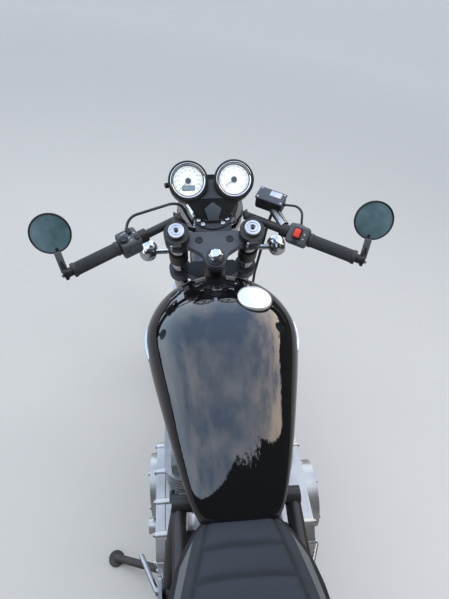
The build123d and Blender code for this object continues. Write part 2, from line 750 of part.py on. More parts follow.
# Engine
with BuildPart() as crankcase:
    side_panel([(584, 262), (630, crankcase_bottom), (900, crankcase_bottom), (938, 262), (930, 430),
                (872, barrel_bottom), (650, barrel_bottom), (578, 436)], 24, crankcase_half, 2 * crankcase_half)
    # Room behind the left cover for the output sprocket and its chain
    with BuildSketch(side_plane(crankcase_half + 1)) as section:
        with Locations((output_x - 20, output_z)):
            RectangleRounded(150, 136, 20)
    extrude(section.sketch, amount=crankcase_half - chain_line + chain_width / 2 + 6, mode=Mode.SUBTRACT)
    front_tip = front_pitch_radius - plate_half - 2 * running_gap
    gear = Vector(output_x, chain_line + sprocket_thickness / 2, output_z)
    rod(gear, gear - Vector(0, sprocket_thickness, 0), front_tip)
    rod(gear, gear - Vector(0, 30, 0), 14)

fin_half = barrel_half + fin_reach
with BuildPart() as cylinder_block:
    with BuildSketch(Plane.XY.offset(barrel_bottom)) as section:
        with Locations((engine_x, 0)):
            RectangleRounded(barrel_length, 2 * barrel_half, 30)
    extrude(section.sketch, amount=barrel_height)
    fin_pitch = barrel_height / (barrel_fins + 0.5)
    for number in range(barrel_fins):
        with BuildSketch(Plane.XY.offset(barrel_bottom + fin_pitch * (number + 0.7))) as section:
            with Locations((engine_x, 0)):
                RectangleRounded(barrel_length + 2 * fin_reach, 2 * fin_half, 40)
        extrude(section.sketch, amount=fin_thickness)

head_bottom = barrel_bottom + barrel_height
head_top_z = head_bottom + head_height
port_spread = 70
port_z = head_bottom + 42
port_reach = 104
with BuildPart() as cylinder_head:
    with BuildSketch(Plane.XY.offset(head_bottom)) as section:
        with Locations((engine_x, 0)):
            RectangleRounded(barrel_length, 2 * barrel_half, 30)
    extrude(section.sketch, amount=head_height)
    fin_pitch = head_height / (head_fins + 0.5)
    for number in range(head_fins):
        with BuildSketch(Plane.XY.offset(head_bottom + fin_pitch * (number + 0.6))) as section:
            with Locations((engine_x, 0)):
                RectangleRounded(barrel_length + 2 * fin_reach, 2 * fin_half, 40)
        extrude(section.sketch, amount=fin_thickness)
    for side in (1, -1):
        port = Vector(engine_x, side * port_spread, port_z)
        rod(port + Vector(60, 0, 0), port + Vector(port_reach, 0, 0), 27)
        rod(port - Vector(60, 0, 0), port - Vector(port_reach, 0, 0), 25)
    # The cam cover: two bars over the camshafts, bridged between
    side_panel([(engine_x - 92, head_top_z), (engine_x - 92, head_top_z + 38),
                (engine_x - 70, head_top_z + cam_cover_height), (engine_x + 70, head_top_z + cam_cover_height),
                (engine_x + 92, head_top_z + 38), (engine_x + 92, head_top_z)],
               8, barrel_half + 6, 2 * barrel_half + 12)

left_cover_outer = 178
right_cover_outer = -200
with BuildPart() as engine_covers:
    with BuildSketch(side_plane(left_cover_outer)) as section:
        with BuildLine():
            Polyline((590, 352), (640, 300), (800, 282), (880, 300), (912, 380), (886, 462), (800, 474), (640, 462),
                     (592, 430), close=True)
        make_face()
        fillet(section.vertices(), 26)
    extrude(section.sketch, amount=left_cover_outer - crankcase_half - face_gap)
    with BuildSketch(side_plane(196)) as section:
        with Locations((805, 382)):
            Circle(82)
    extrude(section.sketch, amount=30)
    rod((718, 208, 330), (718, 170, 330), 20)
    with BuildSketch(side_plane(-crankcase_half - face_gap)) as section:
        with BuildLine():
            Polyline((600, 372), (632, 300), (740, 282), (880, 292), (922, 360), (908, 440), (850, 470), (640, 466),
                     (604, 430), close=True)
        make_face()
        fillet(section.vertices(), 26)
    extrude(section.sketch, amount=-right_cover_outer - crankcase_half)
    with BuildSketch(side_plane(-190)) as section:
        with Locations((752, 378)):
            Circle(84)
    extrude(section.sketch, amount=40)
    # Stiffening ribs over the top of the clutch cover, as (x, z)
    for x, z in ((880, 446), (800, 460), (720, 458)):
        rod((x, -crankcase_half - 6, z), (x, right_cover_outer - 6, z - 16), 9)

with BuildPart() as carburettors:
    for side in (1, -1):
        y = side * port_spread
        z = port_z
        rod((engine_x - 104 - face_gap, y, z), (564.3, y, z), 27)
        rod((engine_x - 150, y, z - 62), (engine_x - 150, y, z + 56), 25)
    rod((engine_x - 150, port_spread, port_z), (engine_x - 150, -port_spread, port_z), 12)
    rod((648, 96, 652), (648, 118, 650), 5)

with BuildPart() as airbox:
    side_panel([(438, 520), (564, 500), (564, 700), (452, 700)], 16, 96, 192)
    for side in (1, -1):
        outer = 118 if side > 0 else -104
        side_panel([(430, 520), (536, 482), (545, 560), (556, 690), (440, 700)], 18, outer, 14)
        rod((450, side * 90, 600), (450, side * 108, 600), 14)

# Exhaust
silencer_start = (440, 180, 254)
silencer_end = (-36, 195, 298)
with BuildPart() as header_pipes:
    for side in (1, -1):
        z = port_z
        start = Vector(silencer_start[0], side * silencer_start[1], silencer_start[2])
        end = Vector(silencer_end[0], side * silencer_end[1], silencer_end[2])
        inlet = start - (end - start).normalized() * 70
        bent_tube([(engine_x + 104 + face_gap, side * port_spread, z), (962, side * port_spread, z),
                   (1004, side * 112, z - 120), (992, side * 138, 380), (936, side * 152, 236),
                   (690, side * 158, 234), tuple(inlet), tuple(start)], 28, header_radius)

with BuildPart() as silencers:
    for side in (1, -1):
        start = Vector(silencer_start[0], side * silencer_start[1], silencer_start[2])
        end = Vector(silencer_end[0], side * silencer_end[1], silencer_end[2])
        length = (end - start).length
        turned_between(start, end, [
            (0, face_gap), (header_radius + 3, face_gap), (header_radius + 3, 40), (30, 60),
            (silencer_radius, 370), (silencer_radius, 400), (30, length), (22, length), (22, length - 60),
            (0, length - 60)])

# Swingarm, axle adjusters, shocks
guard_start_x = 60
guard_post_x = 300
guard_end_x = 430
guard_gauge = 4


def arm_height(x):
    """The height of the swingarm's middle line at a place along it."""
    return rear_tyre_radius + (pivot_z - rear_tyre_radius) * x / pivot_x


shock_foot_z = arm_height(shock_foot_x) + shock_foot_rise
with BuildPart() as swingarm:
    rod((pivot_x, arm_line + arm_width / 2, pivot_z), (pivot_x, -arm_line - arm_width / 2, pivot_z), 24)
    for side in (1, -1):
        outer = side * arm_line + arm_width / 2
        side_panel([(pivot_x + 20, pivot_z + 20), (pivot_x + 20, pivot_z - 24), (0, rear_tyre_radius - arm_depth / 2),
                    (-arm_tail, rear_tyre_radius - 18), (-arm_tail, rear_tyre_radius + 18),
                    (0, rear_tyre_radius + arm_depth / 2)], 8, outer, arm_width)
        foot = Vector(shock_foot_x, side * (shock_line - 13), shock_foot_z)
        rod(foot - Vector(0, side * 28, 0), foot, 12)
    brace = Vector(430, arm_line, arm_height(430) - 4)
    rod(brace, mirrored(brace), 18)
    past_arms = arm_line + arm_width
    rod((pivot_x, past_arms, pivot_z), (pivot_x, -past_arms, pivot_z), axle_radius, mode=Mode.SUBTRACT)
    rod(rear_axle_centre + Vector(0, past_arms, 0), rear_axle_centre - Vector(0, past_arms, 0), axle_radius,
        mode=Mode.SUBTRACT)
    # Chain guard over the top run, on a post from the left arm
    guard_rear = rear_tyre_radius + rear_pitch_radius + 17
    guard_front = output_z + 81
    side_panel([(guard_start_x, guard_rear), (guard_end_x, guard_front), (guard_end_x, guard_front + guard_gauge),
                (guard_start_x, guard_rear + guard_gauge)], 1.5, chain_line + 18, 34)
    slope = (guard_front - guard_rear) / (guard_end_x - guard_start_x)
    guard_at_post = guard_rear + slope * (guard_post_x - guard_start_x)
    rod((guard_post_x, arm_line - 9, arm_height(guard_post_x)),
        (guard_post_x, arm_line - 9, guard_at_post + guard_gauge / 2), 4)

bobbin_radius = 4
bobbin_x = -arm_tail - 14
with BuildPart() as chain_adjusters:
    for side in (1, -1):
        with BuildSketch(side_plane(side * arm_line + arm_width / 2)) as section:
            with Locations((bobbin_x, rear_tyre_radius)):
                RectangleRounded(27, 34, 6)
        extrude(section.sketch, amount=arm_width)
        rod((bobbin_x, side * 150, rear_tyre_radius), (bobbin_x, side * 100, rear_tyre_radius), bobbin_radius,
            mode=Mode.SUBTRACT)

with BuildPart() as rear_shocks:
    for side in (1, -1):
        low = Vector(shock_foot_x, side * shock_line, shock_foot_z)
        high = Vector(shock_head_x, side * shock_line, shock_head_z)
        length = (high - low).length
        coil_start = 70
        coil_end = length - 40
        outline = [(0, 0), (9, 0), (9, 30), (20, 34), (20, 60), (27, 64), (27, coil_start)]
        pitch = (coil_end - coil_start) / coil_count
        for number in range(coil_count):
            outline.append((coil_radius, coil_start + pitch * (number + 0.3)))
            outline.append((coil_radius, coil_start + pitch * (number + 0.7)))
            outline.append((coil_radius - 7, coil_start + pitch * (number + 1)))
        outline += [(26, coil_end + 1), (26, coil_end + 14), (9, coil_end + 16), (9, length), (0, length)]
        turned_between(low, high, outline)
        for eye in (low, high):
            rod(eye + Vector(0, side * 12, 0), eye - Vector(0, side * 12.7, 0), 15)

with BuildPart() as rear_caliper:
    angle = radians(35)
    pad_radius = rear_disc_radius - 16
    caliper = rear_axle_centre + Vector(cos(angle) * pad_radius, 0, sin(angle) * pad_radius)
    caliper_plane = Plane((caliper.X, rear_disc_line + disc_thickness + 14, caliper.Z),
                          x_dir=(cos(angle), 0, sin(angle)), z_dir=(0, -1, 0))
    with BuildSketch(caliper_plane) as section:
        RectangleRounded(54, 86, 10)
    extrude(section.sketch, amount=36)
    with BuildSketch(side_plane(rear_disc_line + disc_thickness + 2)) as section:
        with Locations((0, rear_tyre_radius)):
            Circle(rear_disc_radius + 4)
    extrude(section.sketch, amount=disc_thickness + 4, mode=Mode.SUBTRACT)
    rod((caliper.X + 14, -104, caliper.Z - 10), (caliper.X + 6, -112, arm_height(caliper.X) + 16.3), 8)
    add(swingarm.part, mode=Mode.SUBTRACT)

# Footrests behind the pivot plates, with the gear lever left and the brake pedal right
peg_x = 480
peg_z = 372
with BuildPart() as footrests:
    for side in (1, -1):
        hanger = pivot_line + cradle_radius + face_gap + plate_thickness / 2
        outer = side * hanger + plate_thickness / 2
        side_panel([(570, 330), (570, 430), (500, 400), (462, 392), (462, 352), (500, 350)], 8, outer, plate_thickness)
        rod((peg_x, side * hanger, peg_z), (peg_x, side * 250, peg_z), 13)
        rod((552, side * hanger, 372), (552, side * (hanger + 14), 372), 10)
        rod((552, side * (hanger + 12), 372), (632, side * 220, 352 + (24 if side > 0 else 0)), 6)
        # The silencer hangs from the footrest plate
        rod((470, side * hanger, 362), (400, side * 181, 258), 5)
    add(silencers.part, mode=Mode.SUBTRACT)

# Tank: sections from front to back as (x, half width, height of the top, height of the shoulder, how far
# the lower edge hangs down), all from the tank's base
tank_sections = [
    (1136, 54, 72, 54, 8),
    (1118, 92, 88, 56, 20),
    (1080, 129, 108, 60, 28),
    (1030, 156, 124, 64, 31),
    (970, 173, 136, 68, 32),
    (910, 174, 141, 69, 32),
    (830, 157, 139, 67, 30),
    (740, 135, 128, 63, 20),
    (650, 112, 107, 56, 0),
    (580, 92, 78, 46, 0),
    (545, 78, 56, 36, 0),
    (526, 60, 38, 26, 0),
]


def tank_section(x, half, top, shoulder, skirt):
    """A tank section: flat base, sides flared to the shoulder, round edges and a low crown."""
    with BuildSketch(Plane((x, 0, tank_base), x_dir=(0, 1, 0), z_dir=(1, 0, 0))) as section:
        with BuildLine():
            base = 0.72 * half
            rise = top - shoulder
            edge = (0.72 * half, shoulder + 0.79 * rise)
            for side in (1, -1):
                belly = (side * half * 0.94, (shoulder - skirt) * 0.5)
                ThreePointArc((side * base, -skirt), belly, (side * half, shoulder))
                flank = (side * half * 0.93, shoulder + 0.49 * rise)
                ThreePointArc((side * half, shoulder), flank, (side * edge[0], edge[1]))
            ThreePointArc(edge, (0, top), (-edge[0], edge[1]))
            Line((-base, -skirt), (base, -skirt))
        make_face()
    return section.sketch


with BuildPart() as fuel_tank:
    loft([tank_section(*row) for row in tank_sections], ruled=True)
    # The tunnel over the backbone and headstock, as (x, height over the tank's base)
    tunnel = [(1200, -65), (1200, 125), (1120, 100), (1090, 77), (1000, 69), (760, 47), (520, 17), (520, -65)]
    with BuildSketch(side_plane(tunnel_half)) as section:
        with BuildLine():
            Polyline(*[(x, tank_base + height) for x, height in tunnel], close=True)
        make_face()
    extrude(section.sketch, amount=2 * tunnel_half, mode=Mode.SUBTRACT)
    add(frame_spine.part, mode=Mode.SUBTRACT)

with BuildPart() as fuel_cap:
    seat_point = Vector(cap_x, cap_y, 870)
    cap_plane = Plane(seat_point, z_dir=(0.02, -0.16, 1))
    with BuildSketch(cap_plane) as section:
        Circle(cap_radius)
    extrude(section.sketch, amount=35)
    add(fuel_tank.part, mode=Mode.SUBTRACT)

# Saddle with a tail hump, on its base
saddle_sections = [
    (546, 60, 798, 750),
    (520, 84, 804, 744),
    (470, 112, 806, 742),
    (400, 127, 801, 742),
    (300, 134, 793, 742),
    (200, 131, 790, 744),
    (110, 124, 797, 750),
    (40, 117, 832, 758),
    (-20, 112, 868, 766),
    (-90, 102, 876, 778),
    (-150, 86, 862, 788),
    (-190, 62, 838, 796),
]


def saddle_section(x, half, top, base):
    """A saddle section: flat base, full sides and a low crown."""
    with BuildSketch(Plane((x, 0, 0), x_dir=(0, 1, 0), z_dir=(1, 0, 0))) as section:
        with BuildLine():
            depth = top - base
            edge = (half * 0.72, base + 0.86 * depth)
            for side in (1, -1):
                belly = (side * (half + 3), base + 0.45 * depth)
                ThreePointArc((side * half * 0.96, base), belly, (side * edge[0], edge[1]))
            ThreePointArc(edge, (0, top), (-edge[0], edge[1]))
            Line((-half * 0.96, base), (half * 0.96, base))
        make_face()
    return section.sketch


with BuildPart() as saddle:
    loft([saddle_section(*row) for row in saddle_sections], ruled=True)
    add(seat_rails.part, mode=Mode.SUBTRACT)
    add(fuel_tank.part, mode=Mode.SUBTRACT)

rear_guard_radius = rear_tyre_radius + 34
post_x = 64
with BuildPart() as rear_mudguard:
    guard(rear_axle_centre, rear_guard_radius, 82, 34, 3, 62, 96)
    post_foot = rear_tyre_radius + sqrt((rear_guard_radius - 4.7) ** 2 - post_x ** 2)
    for side in (1, -1):
        rod((post_x, side * 52, post_foot), (post_x, side * 52, 722), 8)
        rod((post_x, side * 46, 722), (post_x, side * 112, 738), 8)
    add(seat_rails.part, mode=Mode.SUBTRACT)

with BuildPart() as rear_lamps:
    rod((-84, 0, 752), (-196, 0, 742), 14)
    turned(Plane((-196, 0, 722), x_dir=(0, 1, 0), z_dir=(-1, 0, 0)), [
        (0, 0), (30, 0), (44, 16), (44, 40), (36, 54), (0, 60)])
    for side in (1, -1):
        rod((-160, 0, 745), (-160, side * 150, 735), 6)
        turned(Plane((-160, side * 160, 735), x_dir=(0, 1, 0), z_dir=(-1, 0, 0)), [
            (0, -26), (12, -24), (21, -14), (25, 4), (25, 20), (0, 26)])
    add(seat_rails.part, mode=Mode.SUBTRACT)

plate_hole_radius = 3.3
plate_hole_pitch = 60
plate_gauge = 3
plate_stay_angle = radians(140)
with BuildPart() as plate_bracket:
    plate_centre = Vector(-322, 0, 620)
    plate_plane = Plane(plate_centre, x_dir=(0, 1, 0), z_dir=(-0.94, 0, -0.34))
    outward = Vector(cos(plate_stay_angle), 0, sin(plate_stay_angle))
    for side in (1, -1):
        foot = rear_axle_centre + outward * (rear_guard_radius - 3.5) + Vector(0, side * 50, 0)
        rod(foot, foot + outward * 80, 5)
    split(bisect_by=plate_plane.offset(plate_gauge / 2), keep=Keep.BOTTOM)
    with BuildSketch(plate_plane) as section:
        RectangleRounded(180, 140, 6)
        with GridLocations(plate_hole_pitch, 0, 2, 1):
            Circle(plate_hole_radius, mode=Mode.SUBTRACT)
    extrude(section.sketch, amount=plate_gauge)
    add(rear_mudguard.part, mode=Mode.SUBTRACT)

# Side stand
with BuildPart() as side_stand:
    rod(pivot_point - stand_axis * 7, pivot_point + stand_axis * 7, 15)
    rod(pivot_point, pivot_point + stand_reach * 30, 6.5)
    rod(pivot_point + stand_reach * 18, foot_point + floor_normal * 12, stand_radius)
    rod(foot_point, foot_point + floor_normal * 9, 23)
    rod(pivot_point - stand_axis * 20, pivot_point + stand_axis * 20, 6 + running_gap, mode=Mode.SUBTRACT)

# Onto the stand: lean the whole machine, and bring the middle of its footprint to the origin
pieces = {
    "front_tyre": front_tyre, "front_wheel": front_wheel, "front_disc": front_disc, "front_axle": front_axle,
    "rear_tyre": rear_tyre, "rear_wheel": rear_wheel, "rear_disc": rear_disc, "rear_sprocket": rear_sprocket,
    "rear_axle": rear_axle, "drive_chain": drive_chain,
    "fork_tubes": fork_tubes, "fork_sliders": fork_sliders, "top_yoke": top_yoke, "bottom_yoke": bottom_yoke,
    "clip_ons": clip_ons, "grips": grips, "switch_housings": switch_housings, "lever_sets": lever_sets,
    "mirrors": mirrors, "instruments": instruments,
    "instrument_bezels": instrument_bezels, "headlamp_bowl": headlamp_bowl, "headlamp_lens": headlamp_lens,
    "headlamp_brackets": headlamp_brackets, "front_indicators": front_indicators,
    "front_mudguard": front_mudguard, "front_caliper": front_caliper, "brake_hose": brake_hose,
    "switch_looms": switch_looms,
    "frame_spine": frame_spine, "frame_cradles": frame_cradles, "seat_rails": seat_rails,
    "crankcase": crankcase, "cylinder_block": cylinder_block, "cylinder_head": cylinder_head,
    "engine_covers": engine_covers, "carburettors": carburettors, "airbox": airbox,
    "header_pipes": header_pipes, "silencers": silencers, "swingarm": swingarm,
    "chain_adjusters": chain_adjusters, "rear_shocks": rear_shocks, "rear_caliper": rear_caliper,
    "footrests": footrests, "fuel_tank": fuel_tank, "fuel_cap": fuel_cap, "saddle": saddle,
    "rear_mudguard": rear_mudguard, "rear_lamps": rear_lamps, "plate_bracket": plate_bracket,
    "side_stand": side_stand,
}
leaning = Location((0, 0, 0), (-lean, 0, 0))
leaned = {name: piece.part.moved(leaning) for name, piece in pieces.items()}
corners = [solid.bounding_box() for solid in leaned.values()]
middle_x = (min(box.min.X for box in corners) + max(box.max.X for box in corners)) / 2
middle_y = (min(box.min.Y for box in corners) + max(box.max.Y for box in corners)) / 2
lowest = min(box.min.Z for box in corners)
parked = Location((-middle_x, -middle_y, -lowest))

os.makedirs("parts", exist_ok=True)
for name, solid in leaned.items():
    placed = solid.moved(parked)
    placed.label = name
    export_step(placed, f"parts/{name}.step")
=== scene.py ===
import bpy
import math
from mathutils import Matrix, Vector


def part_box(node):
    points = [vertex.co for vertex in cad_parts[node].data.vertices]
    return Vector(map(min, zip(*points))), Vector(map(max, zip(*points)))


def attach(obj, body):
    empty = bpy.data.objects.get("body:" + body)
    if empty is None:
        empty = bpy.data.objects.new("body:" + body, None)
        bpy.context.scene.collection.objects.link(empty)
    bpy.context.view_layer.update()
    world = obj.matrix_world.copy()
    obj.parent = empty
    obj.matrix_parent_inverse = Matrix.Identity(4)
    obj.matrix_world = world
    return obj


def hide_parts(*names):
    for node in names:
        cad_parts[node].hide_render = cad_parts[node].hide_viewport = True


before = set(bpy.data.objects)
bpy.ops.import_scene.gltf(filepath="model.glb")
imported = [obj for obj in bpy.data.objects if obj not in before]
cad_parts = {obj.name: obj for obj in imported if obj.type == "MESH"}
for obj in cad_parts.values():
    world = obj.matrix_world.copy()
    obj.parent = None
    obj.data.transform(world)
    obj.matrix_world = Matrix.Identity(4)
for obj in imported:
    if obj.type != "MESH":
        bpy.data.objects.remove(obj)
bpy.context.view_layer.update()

# Stance
# The machine leans to the left on its side stand. Pieces are drawn upright, X forward from the rear
# axle, Y to the left and Z up from the road, and settle() leans them onto the stand.
lean = math.radians(9)
wheelbase = 1.49
front_wheel_radius = 0.319
rear_wheel_radius = 0.320
low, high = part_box("front_tyre")
tilt = Matrix.Rotation(-lean, 4, "X")
front_axle = Vector((wheelbase, 0, front_wheel_radius))
parked = Matrix.Translation((low + high) / 2 - tilt @ front_axle) @ tilt


def alone(piece):
    """Makes a piece the only one selected."""
    bpy.ops.object.select_all(action="DESELECT")
    piece.select_set(True)
    bpy.context.view_layer.objects.active = piece


def settle(piece, name, body, finish, *stands_for):
    """Leans a finished piece onto the stand, names it, and lets it ride on its body."""
    piece.name = name
    piece.data.name = name
    piece.data.transform(parked @ piece.matrix_world)
    piece.matrix_world = Matrix()
    piece.data.materials.clear()
    piece.data.materials.append(finish.material)
    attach(piece, body)
    if stands_for:
        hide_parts(*stands_for)


# Frame and swingarm
# A welded backbone, two cradles, the saddle rails and a box-section swingarm, all in mild steel and
# powder coated satin black. The coat is faintly pebbled, and dusty in patches.
class Wire:
    """A shader socket that takes part in plain sums."""

    def __init__(self, finish, socket):
        self.finish, self.socket = finish, socket

    def __add__(self, other):
        return self.finish.math("ADD", self, other)

    def __sub__(self, other):
        return self.finish.math("SUBTRACT", self, other)

    def __rsub__(self, other):
        return self.finish.math("SUBTRACT", other, self)

    def __mul__(self, other):
        return self.finish.math("MULTIPLY", self, other)

    def __truediv__(self, other):
        return self.finish.math("DIVIDE", self, other)

    def __gt__(self, other):
        return self.finish.math("GREATER_THAN", self, other)

    def __lt__(self, other):
        return self.finish.math("LESS_THAN", self, other)

    __radd__ = __add__
    __rmul__ = __mul__


class Finish:
    """A finish, built from nodes round one shader."""

    def __init__(self, name, **fixed):
        self.material = bpy.data.materials.new(name)
        self.material.use_nodes = True
        self.tree = self.material.node_tree
        self.shader = self.tree.nodes["Principled BSDF"]
        for socket, value in fixed.items():
            self.shader.inputs[socket.replace("_", " ")].default_value = value
        self.place = self.node("TexCoord", output="Object")

    def node(self, kind, plugs={}, output=0, stops=(), **settings):
        """Any node, with its settings, a ramp's stops, and the values or wires of its sockets."""
        made = self.tree.nodes.new("ShaderNode" + kind)
        for setting, value in settings.items():
            setattr(made, setting, value)
        for number, (at, tone) in enumerate(stops):
            if number > 1:
                made.color_ramp.elements.new(at)
            made.color_ramp.elements[number].position = at
            made.color_ramp.elements[number].color = tone + (1,)
        for socket, plug in plugs.items():
            if isinstance(plug, Wire):
                self.tree.links.new(plug.socket, made.inputs[socket])
            else:
                made.inputs[socket].default_value = plug
        return Wire(self, made.outputs[output])

    def math(self, operation, *terms):
        """A sum of wires and numbers."""
        return self.node("Math", dict(enumerate(terms)), operation=operation)

    def feed(self, **wires):
        for socket, wire in wires.items():
            self.tree.links.new(wire.socket, self.shader.inputs[socket.replace("_", " ")])

    def noise(self, scale, detail=4, rough=0.6):
        return self.node("TexNoise", {"Vector": self.place, "Scale": scale, "Detail": detail,
                                      "Roughness": rough})

    def axes(self, wire):
        """The X, Y and Z of a place."""
        return [self.node("SeparateXYZ", {0: wire}, output=axis) for axis in "XYZ"]

    def blend(self, factor, first, second):
        """A colour between two tones or wires."""
        tones = [tone + (1,) if isinstance(tone, tuple) else tone for tone in (first, second)]
        return self.node("Mix", {0: factor, 6: tones[0], 7: tones[1]}, output=2, data_type="RGBA")

    def spread(self, wire, low, high, start=0.3, end=0.7):
        """A number that goes from low to high as the wire goes from start to end."""
        reach = {"Value": wire, "From Min": start, "From Max": end, "To Min": low, "To Max": high}
        return self.node("MapRange", reach)

    def relief(self, height, depth):
        self.feed(Normal=self.node("Bump", {"Height": height, "Distance": depth, "Strength": 1.0}))

    def upright(self, middle):
        """The piece's own place, with the lean taken out, from a point on the upright machine."""
        moved = self.node("VectorMath", {0: self.place, 1: parked @ Vector(middle)}, operation="SUBTRACT")
        return self.node("VectorRotate", {"Vector": moved, "Angle": lean}, rotation_type="X_AXIS")


def weathered(name, dark, light, smooth, rough, grain, depth, patch=9, **fixed):
    """A finish whose tone and gloss drift in patches, with a fine grain in relief."""
    finish = Finish(name, **fixed)
    drift = finish.noise(patch)
    fine = finish.noise(grain, detail=2)
    finish.feed(Base_Color=finish.blend(finish.spread(drift, 0, 1), dark, light),
                Roughness=finish.spread(drift * 0.6 + fine * 0.4, smooth, rough))
    finish.relief(fine, depth)
    return finish


def added(name, data):
    """A new object in the scene."""
    made = bpy.data.objects.new(name, data)
    bpy.context.scene.collection.objects.link(made)
    return made


def edit_all():
    """Enters edit mode on the piece in hand with all of it selected."""
    bpy.ops.object.mode_set(mode="EDIT")
    bpy.ops.mesh.select_all(action="SELECT")


def shaped(piece, kind, **settings):
    """Gives a piece a modifier, sets it and applies it."""
    alone(piece)
    modifier = piece.modifiers.new(kind.lower(), kind)
    for setting, value in settings.items():
        setattr(modifier, setting, value)
    bpy.ops.object.modifier_apply(modifier=modifier.name)


def bevelled(piece, width, segments, crisp, harden=False):
    """Bevels a piece's edges that are sharper than an angle."""
    shaped(piece, "BEVEL", width=width, segments=segments, limit_method="ANGLE",
           angle_limit=math.radians(crisp), harden_normals=harden)


def dressed(node, body, finish, eased=0.0006, crisp=32):
    """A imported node's own shape with its faces joined, its edges eased and its finish on."""
    piece = added(node + "_dressed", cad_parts[node].data.copy())
    alone(piece)
    edit_all()
    bpy.ops.mesh.remove_doubles(threshold=0.00001)
    bpy.ops.mesh.dissolve_limited(angle_limit=math.radians(1))
    bpy.ops.object.mode_set(mode="OBJECT")
    bpy.ops.object.shade_smooth_by_angle(angle=math.radians(crisp))
    if eased:
        bevelled(piece, eased, 2, crisp, harden=True)
    piece.data.materials.clear()
    piece.data.materials.append(finish.material)
    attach(piece, body)
    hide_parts(node)
    return piece


frame_enamel = weathered("frame_enamel", (0.012, 0.012, 0.013), (0.03, 0.03, 0.031), 0.28, 0.5, 900, 0.00008)
for node in ("frame_spine", "frame_cradles", "seat_rails", "swingarm"):
    dressed(node, "frame", frame_enamel)

# Side stand, footrests and small brackets
# Forged and bent steel, enamelled black, bolted to the frame and the fork. The footrests, the pedals
# and the chain adjusters are bare alloy.
stand_enamel = weathered("stand_enamel", (0.018, 0.018, 0.018), (0.06, 0.058, 0.055), 0.4, 0.65, 700, 0.0001,
                         patch=25)
dressed("side_stand", "side_stand", stand_enamel)
dressed("plate_bracket", "frame", frame_enamel)
dressed("headlamp_brackets", "fork", frame_enamel)
peg_alloy = weathered("peg_alloy", (0.35, 0.35, 0.35), (0.6, 0.6, 0.6), 0.28, 0.5, 1200, 0.00006, Metallic=1)
dressed("footrests", "frame", peg_alloy)
dressed("chain_adjusters", "frame", peg_alloy)


# Engine
# Sand-cast alloy cases and a finned barrel and head. The cases are lightly polished by hand outside
# and stay matt in their corners. Steel cap screws hold the side covers down on their gaskets.
def face_out():
    """Turns all faces of the piece in hand outwards and leaves edit mode."""
    bpy.ops.mesh.select_all(action="SELECT")
    bpy.ops.mesh.normals_make_consistent(inside=False)
    bpy.ops.object.mode_set(mode="OBJECT")


def draw_on(step, growth, pivot):
    """Extrudes the last outline by a step and scales it about a point."""
    bpy.ops.mesh.extrude_region_move(TRANSFORM_OT_translate={"value": step})
    bpy.ops.transform.resize(value=growth, center_override=pivot)


def turned(rings, place, sides=64, crisp=35, hollow=False, core=0.001, dip=0.0, crown=0.0):
    """A turned piece through rings of (radius, height), set by a place matrix. Its ends are closed
    down to a core, lower than the first ring by a dip and higher than the last by a crown."""
    if not hollow:
        rings = [(core, rings[0][1] - dip), *rings, (core, rings[-1][1] + crown)]
    bpy.ops.mesh.primitive_circle_add(vertices=sides, radius=rings[0][0],
                                      fill_type="NOTHING" if hollow else "NGON", location=(0, 0, rings[0][1]))
    piece = bpy.context.object
    bpy.ops.object.transform_apply(location=True)
    edit_all()
    for (size, level), (wider, higher) in zip(rings, rings[1:]):
        draw_on((0, 0, higher - level), (wider / size, wider / size, 1), (0, 0, higher))
    if hollow:
        bpy.ops.mesh.select_all(action="DESELECT")
        bpy.ops.mesh.select_mode(type="EDGE")
        bpy.ops.mesh.select_non_manifold()
        bpy.ops.mesh.bridge_edge_loops()
        bpy.ops.mesh.select_mode(type="VERT")
    face_out()
    bpy.ops.object.shade_smooth_by_angle(angle=math.radians(crisp))
    piece.matrix_world = place
    return piece


def facing(origin, normal, side=(0, 1, 0)):
    """A place matrix at a point, its Z along the normal and its X near the side direction."""
    up = Vector(normal).normalized()
    across = (Vector(side) - up * up.dot(Vector(side))).normalized()
    made = Matrix((across, up.cross(across), up)).transposed().to_4x4()
    made.translation = origin
    return made


def outboard(x, side, reach, z):
    """A place matrix on one side of the machine, its Z outwards and its X forward."""
    return facing((x, side * reach, z), (0, side, 0), (1, 0, 0))


def around(x, z, radius, turn):
    """The (x, z) of a place on a circle, from a turn about its middle."""
    return x + radius * math.cos(turn), z + radius * math.sin(turn)


def joined(pieces):
    """Joins pieces into one, with their places in the mesh."""
    bpy.ops.object.select_all(action="DESELECT")
    for piece in pieces:
        piece.data.transform(piece.matrix_world)
        piece.matrix_world = Matrix()
        piece.select_set(True)
    bpy.context.view_layer.objects.active = pieces[0]
    bpy.ops.object.join()
    return pieces[0]


def eased(piece, width, segments=2, crisp=32):
    """Bevels a piece's sharp edges and shades it."""
    bevelled(piece, width, segments, crisp)
    bpy.ops.object.shade_smooth_by_angle(angle=math.radians(crisp))
    return piece


def stub(sides, radius, tall, middle, place=Matrix(), rounding=0.0006, segments=2):
    """A round or many-sided stub with eased edges, its middle at a height over its place."""
    bpy.ops.mesh.primitive_cylinder_add(vertices=sides, radius=radius, depth=tall, location=(0, 0, middle))
    piece = bpy.context.object
    bpy.ops.object.transform_apply(location=True)
    eased(piece, rounding, segments)
    piece.matrix_world = place
    return piece


def socket_bolt(radius, tall, place):
    """A cap screw: a round head with a six-sided socket sunk in its top."""
    head = stub(36, radius, tall, tall / 2, rounding=radius * 0.16)
    bpy.ops.mesh.primitive_cylinder_add(vertices=6, radius=radius * 0.58, depth=tall,
                                        location=(0, 0, tall * 0.95))
    tool = bpy.context.object
    shaped(head, "BOOLEAN", object=tool, solver="EXACT")
    bpy.data.objects.remove(tool)
    head.matrix_world = place
    return head


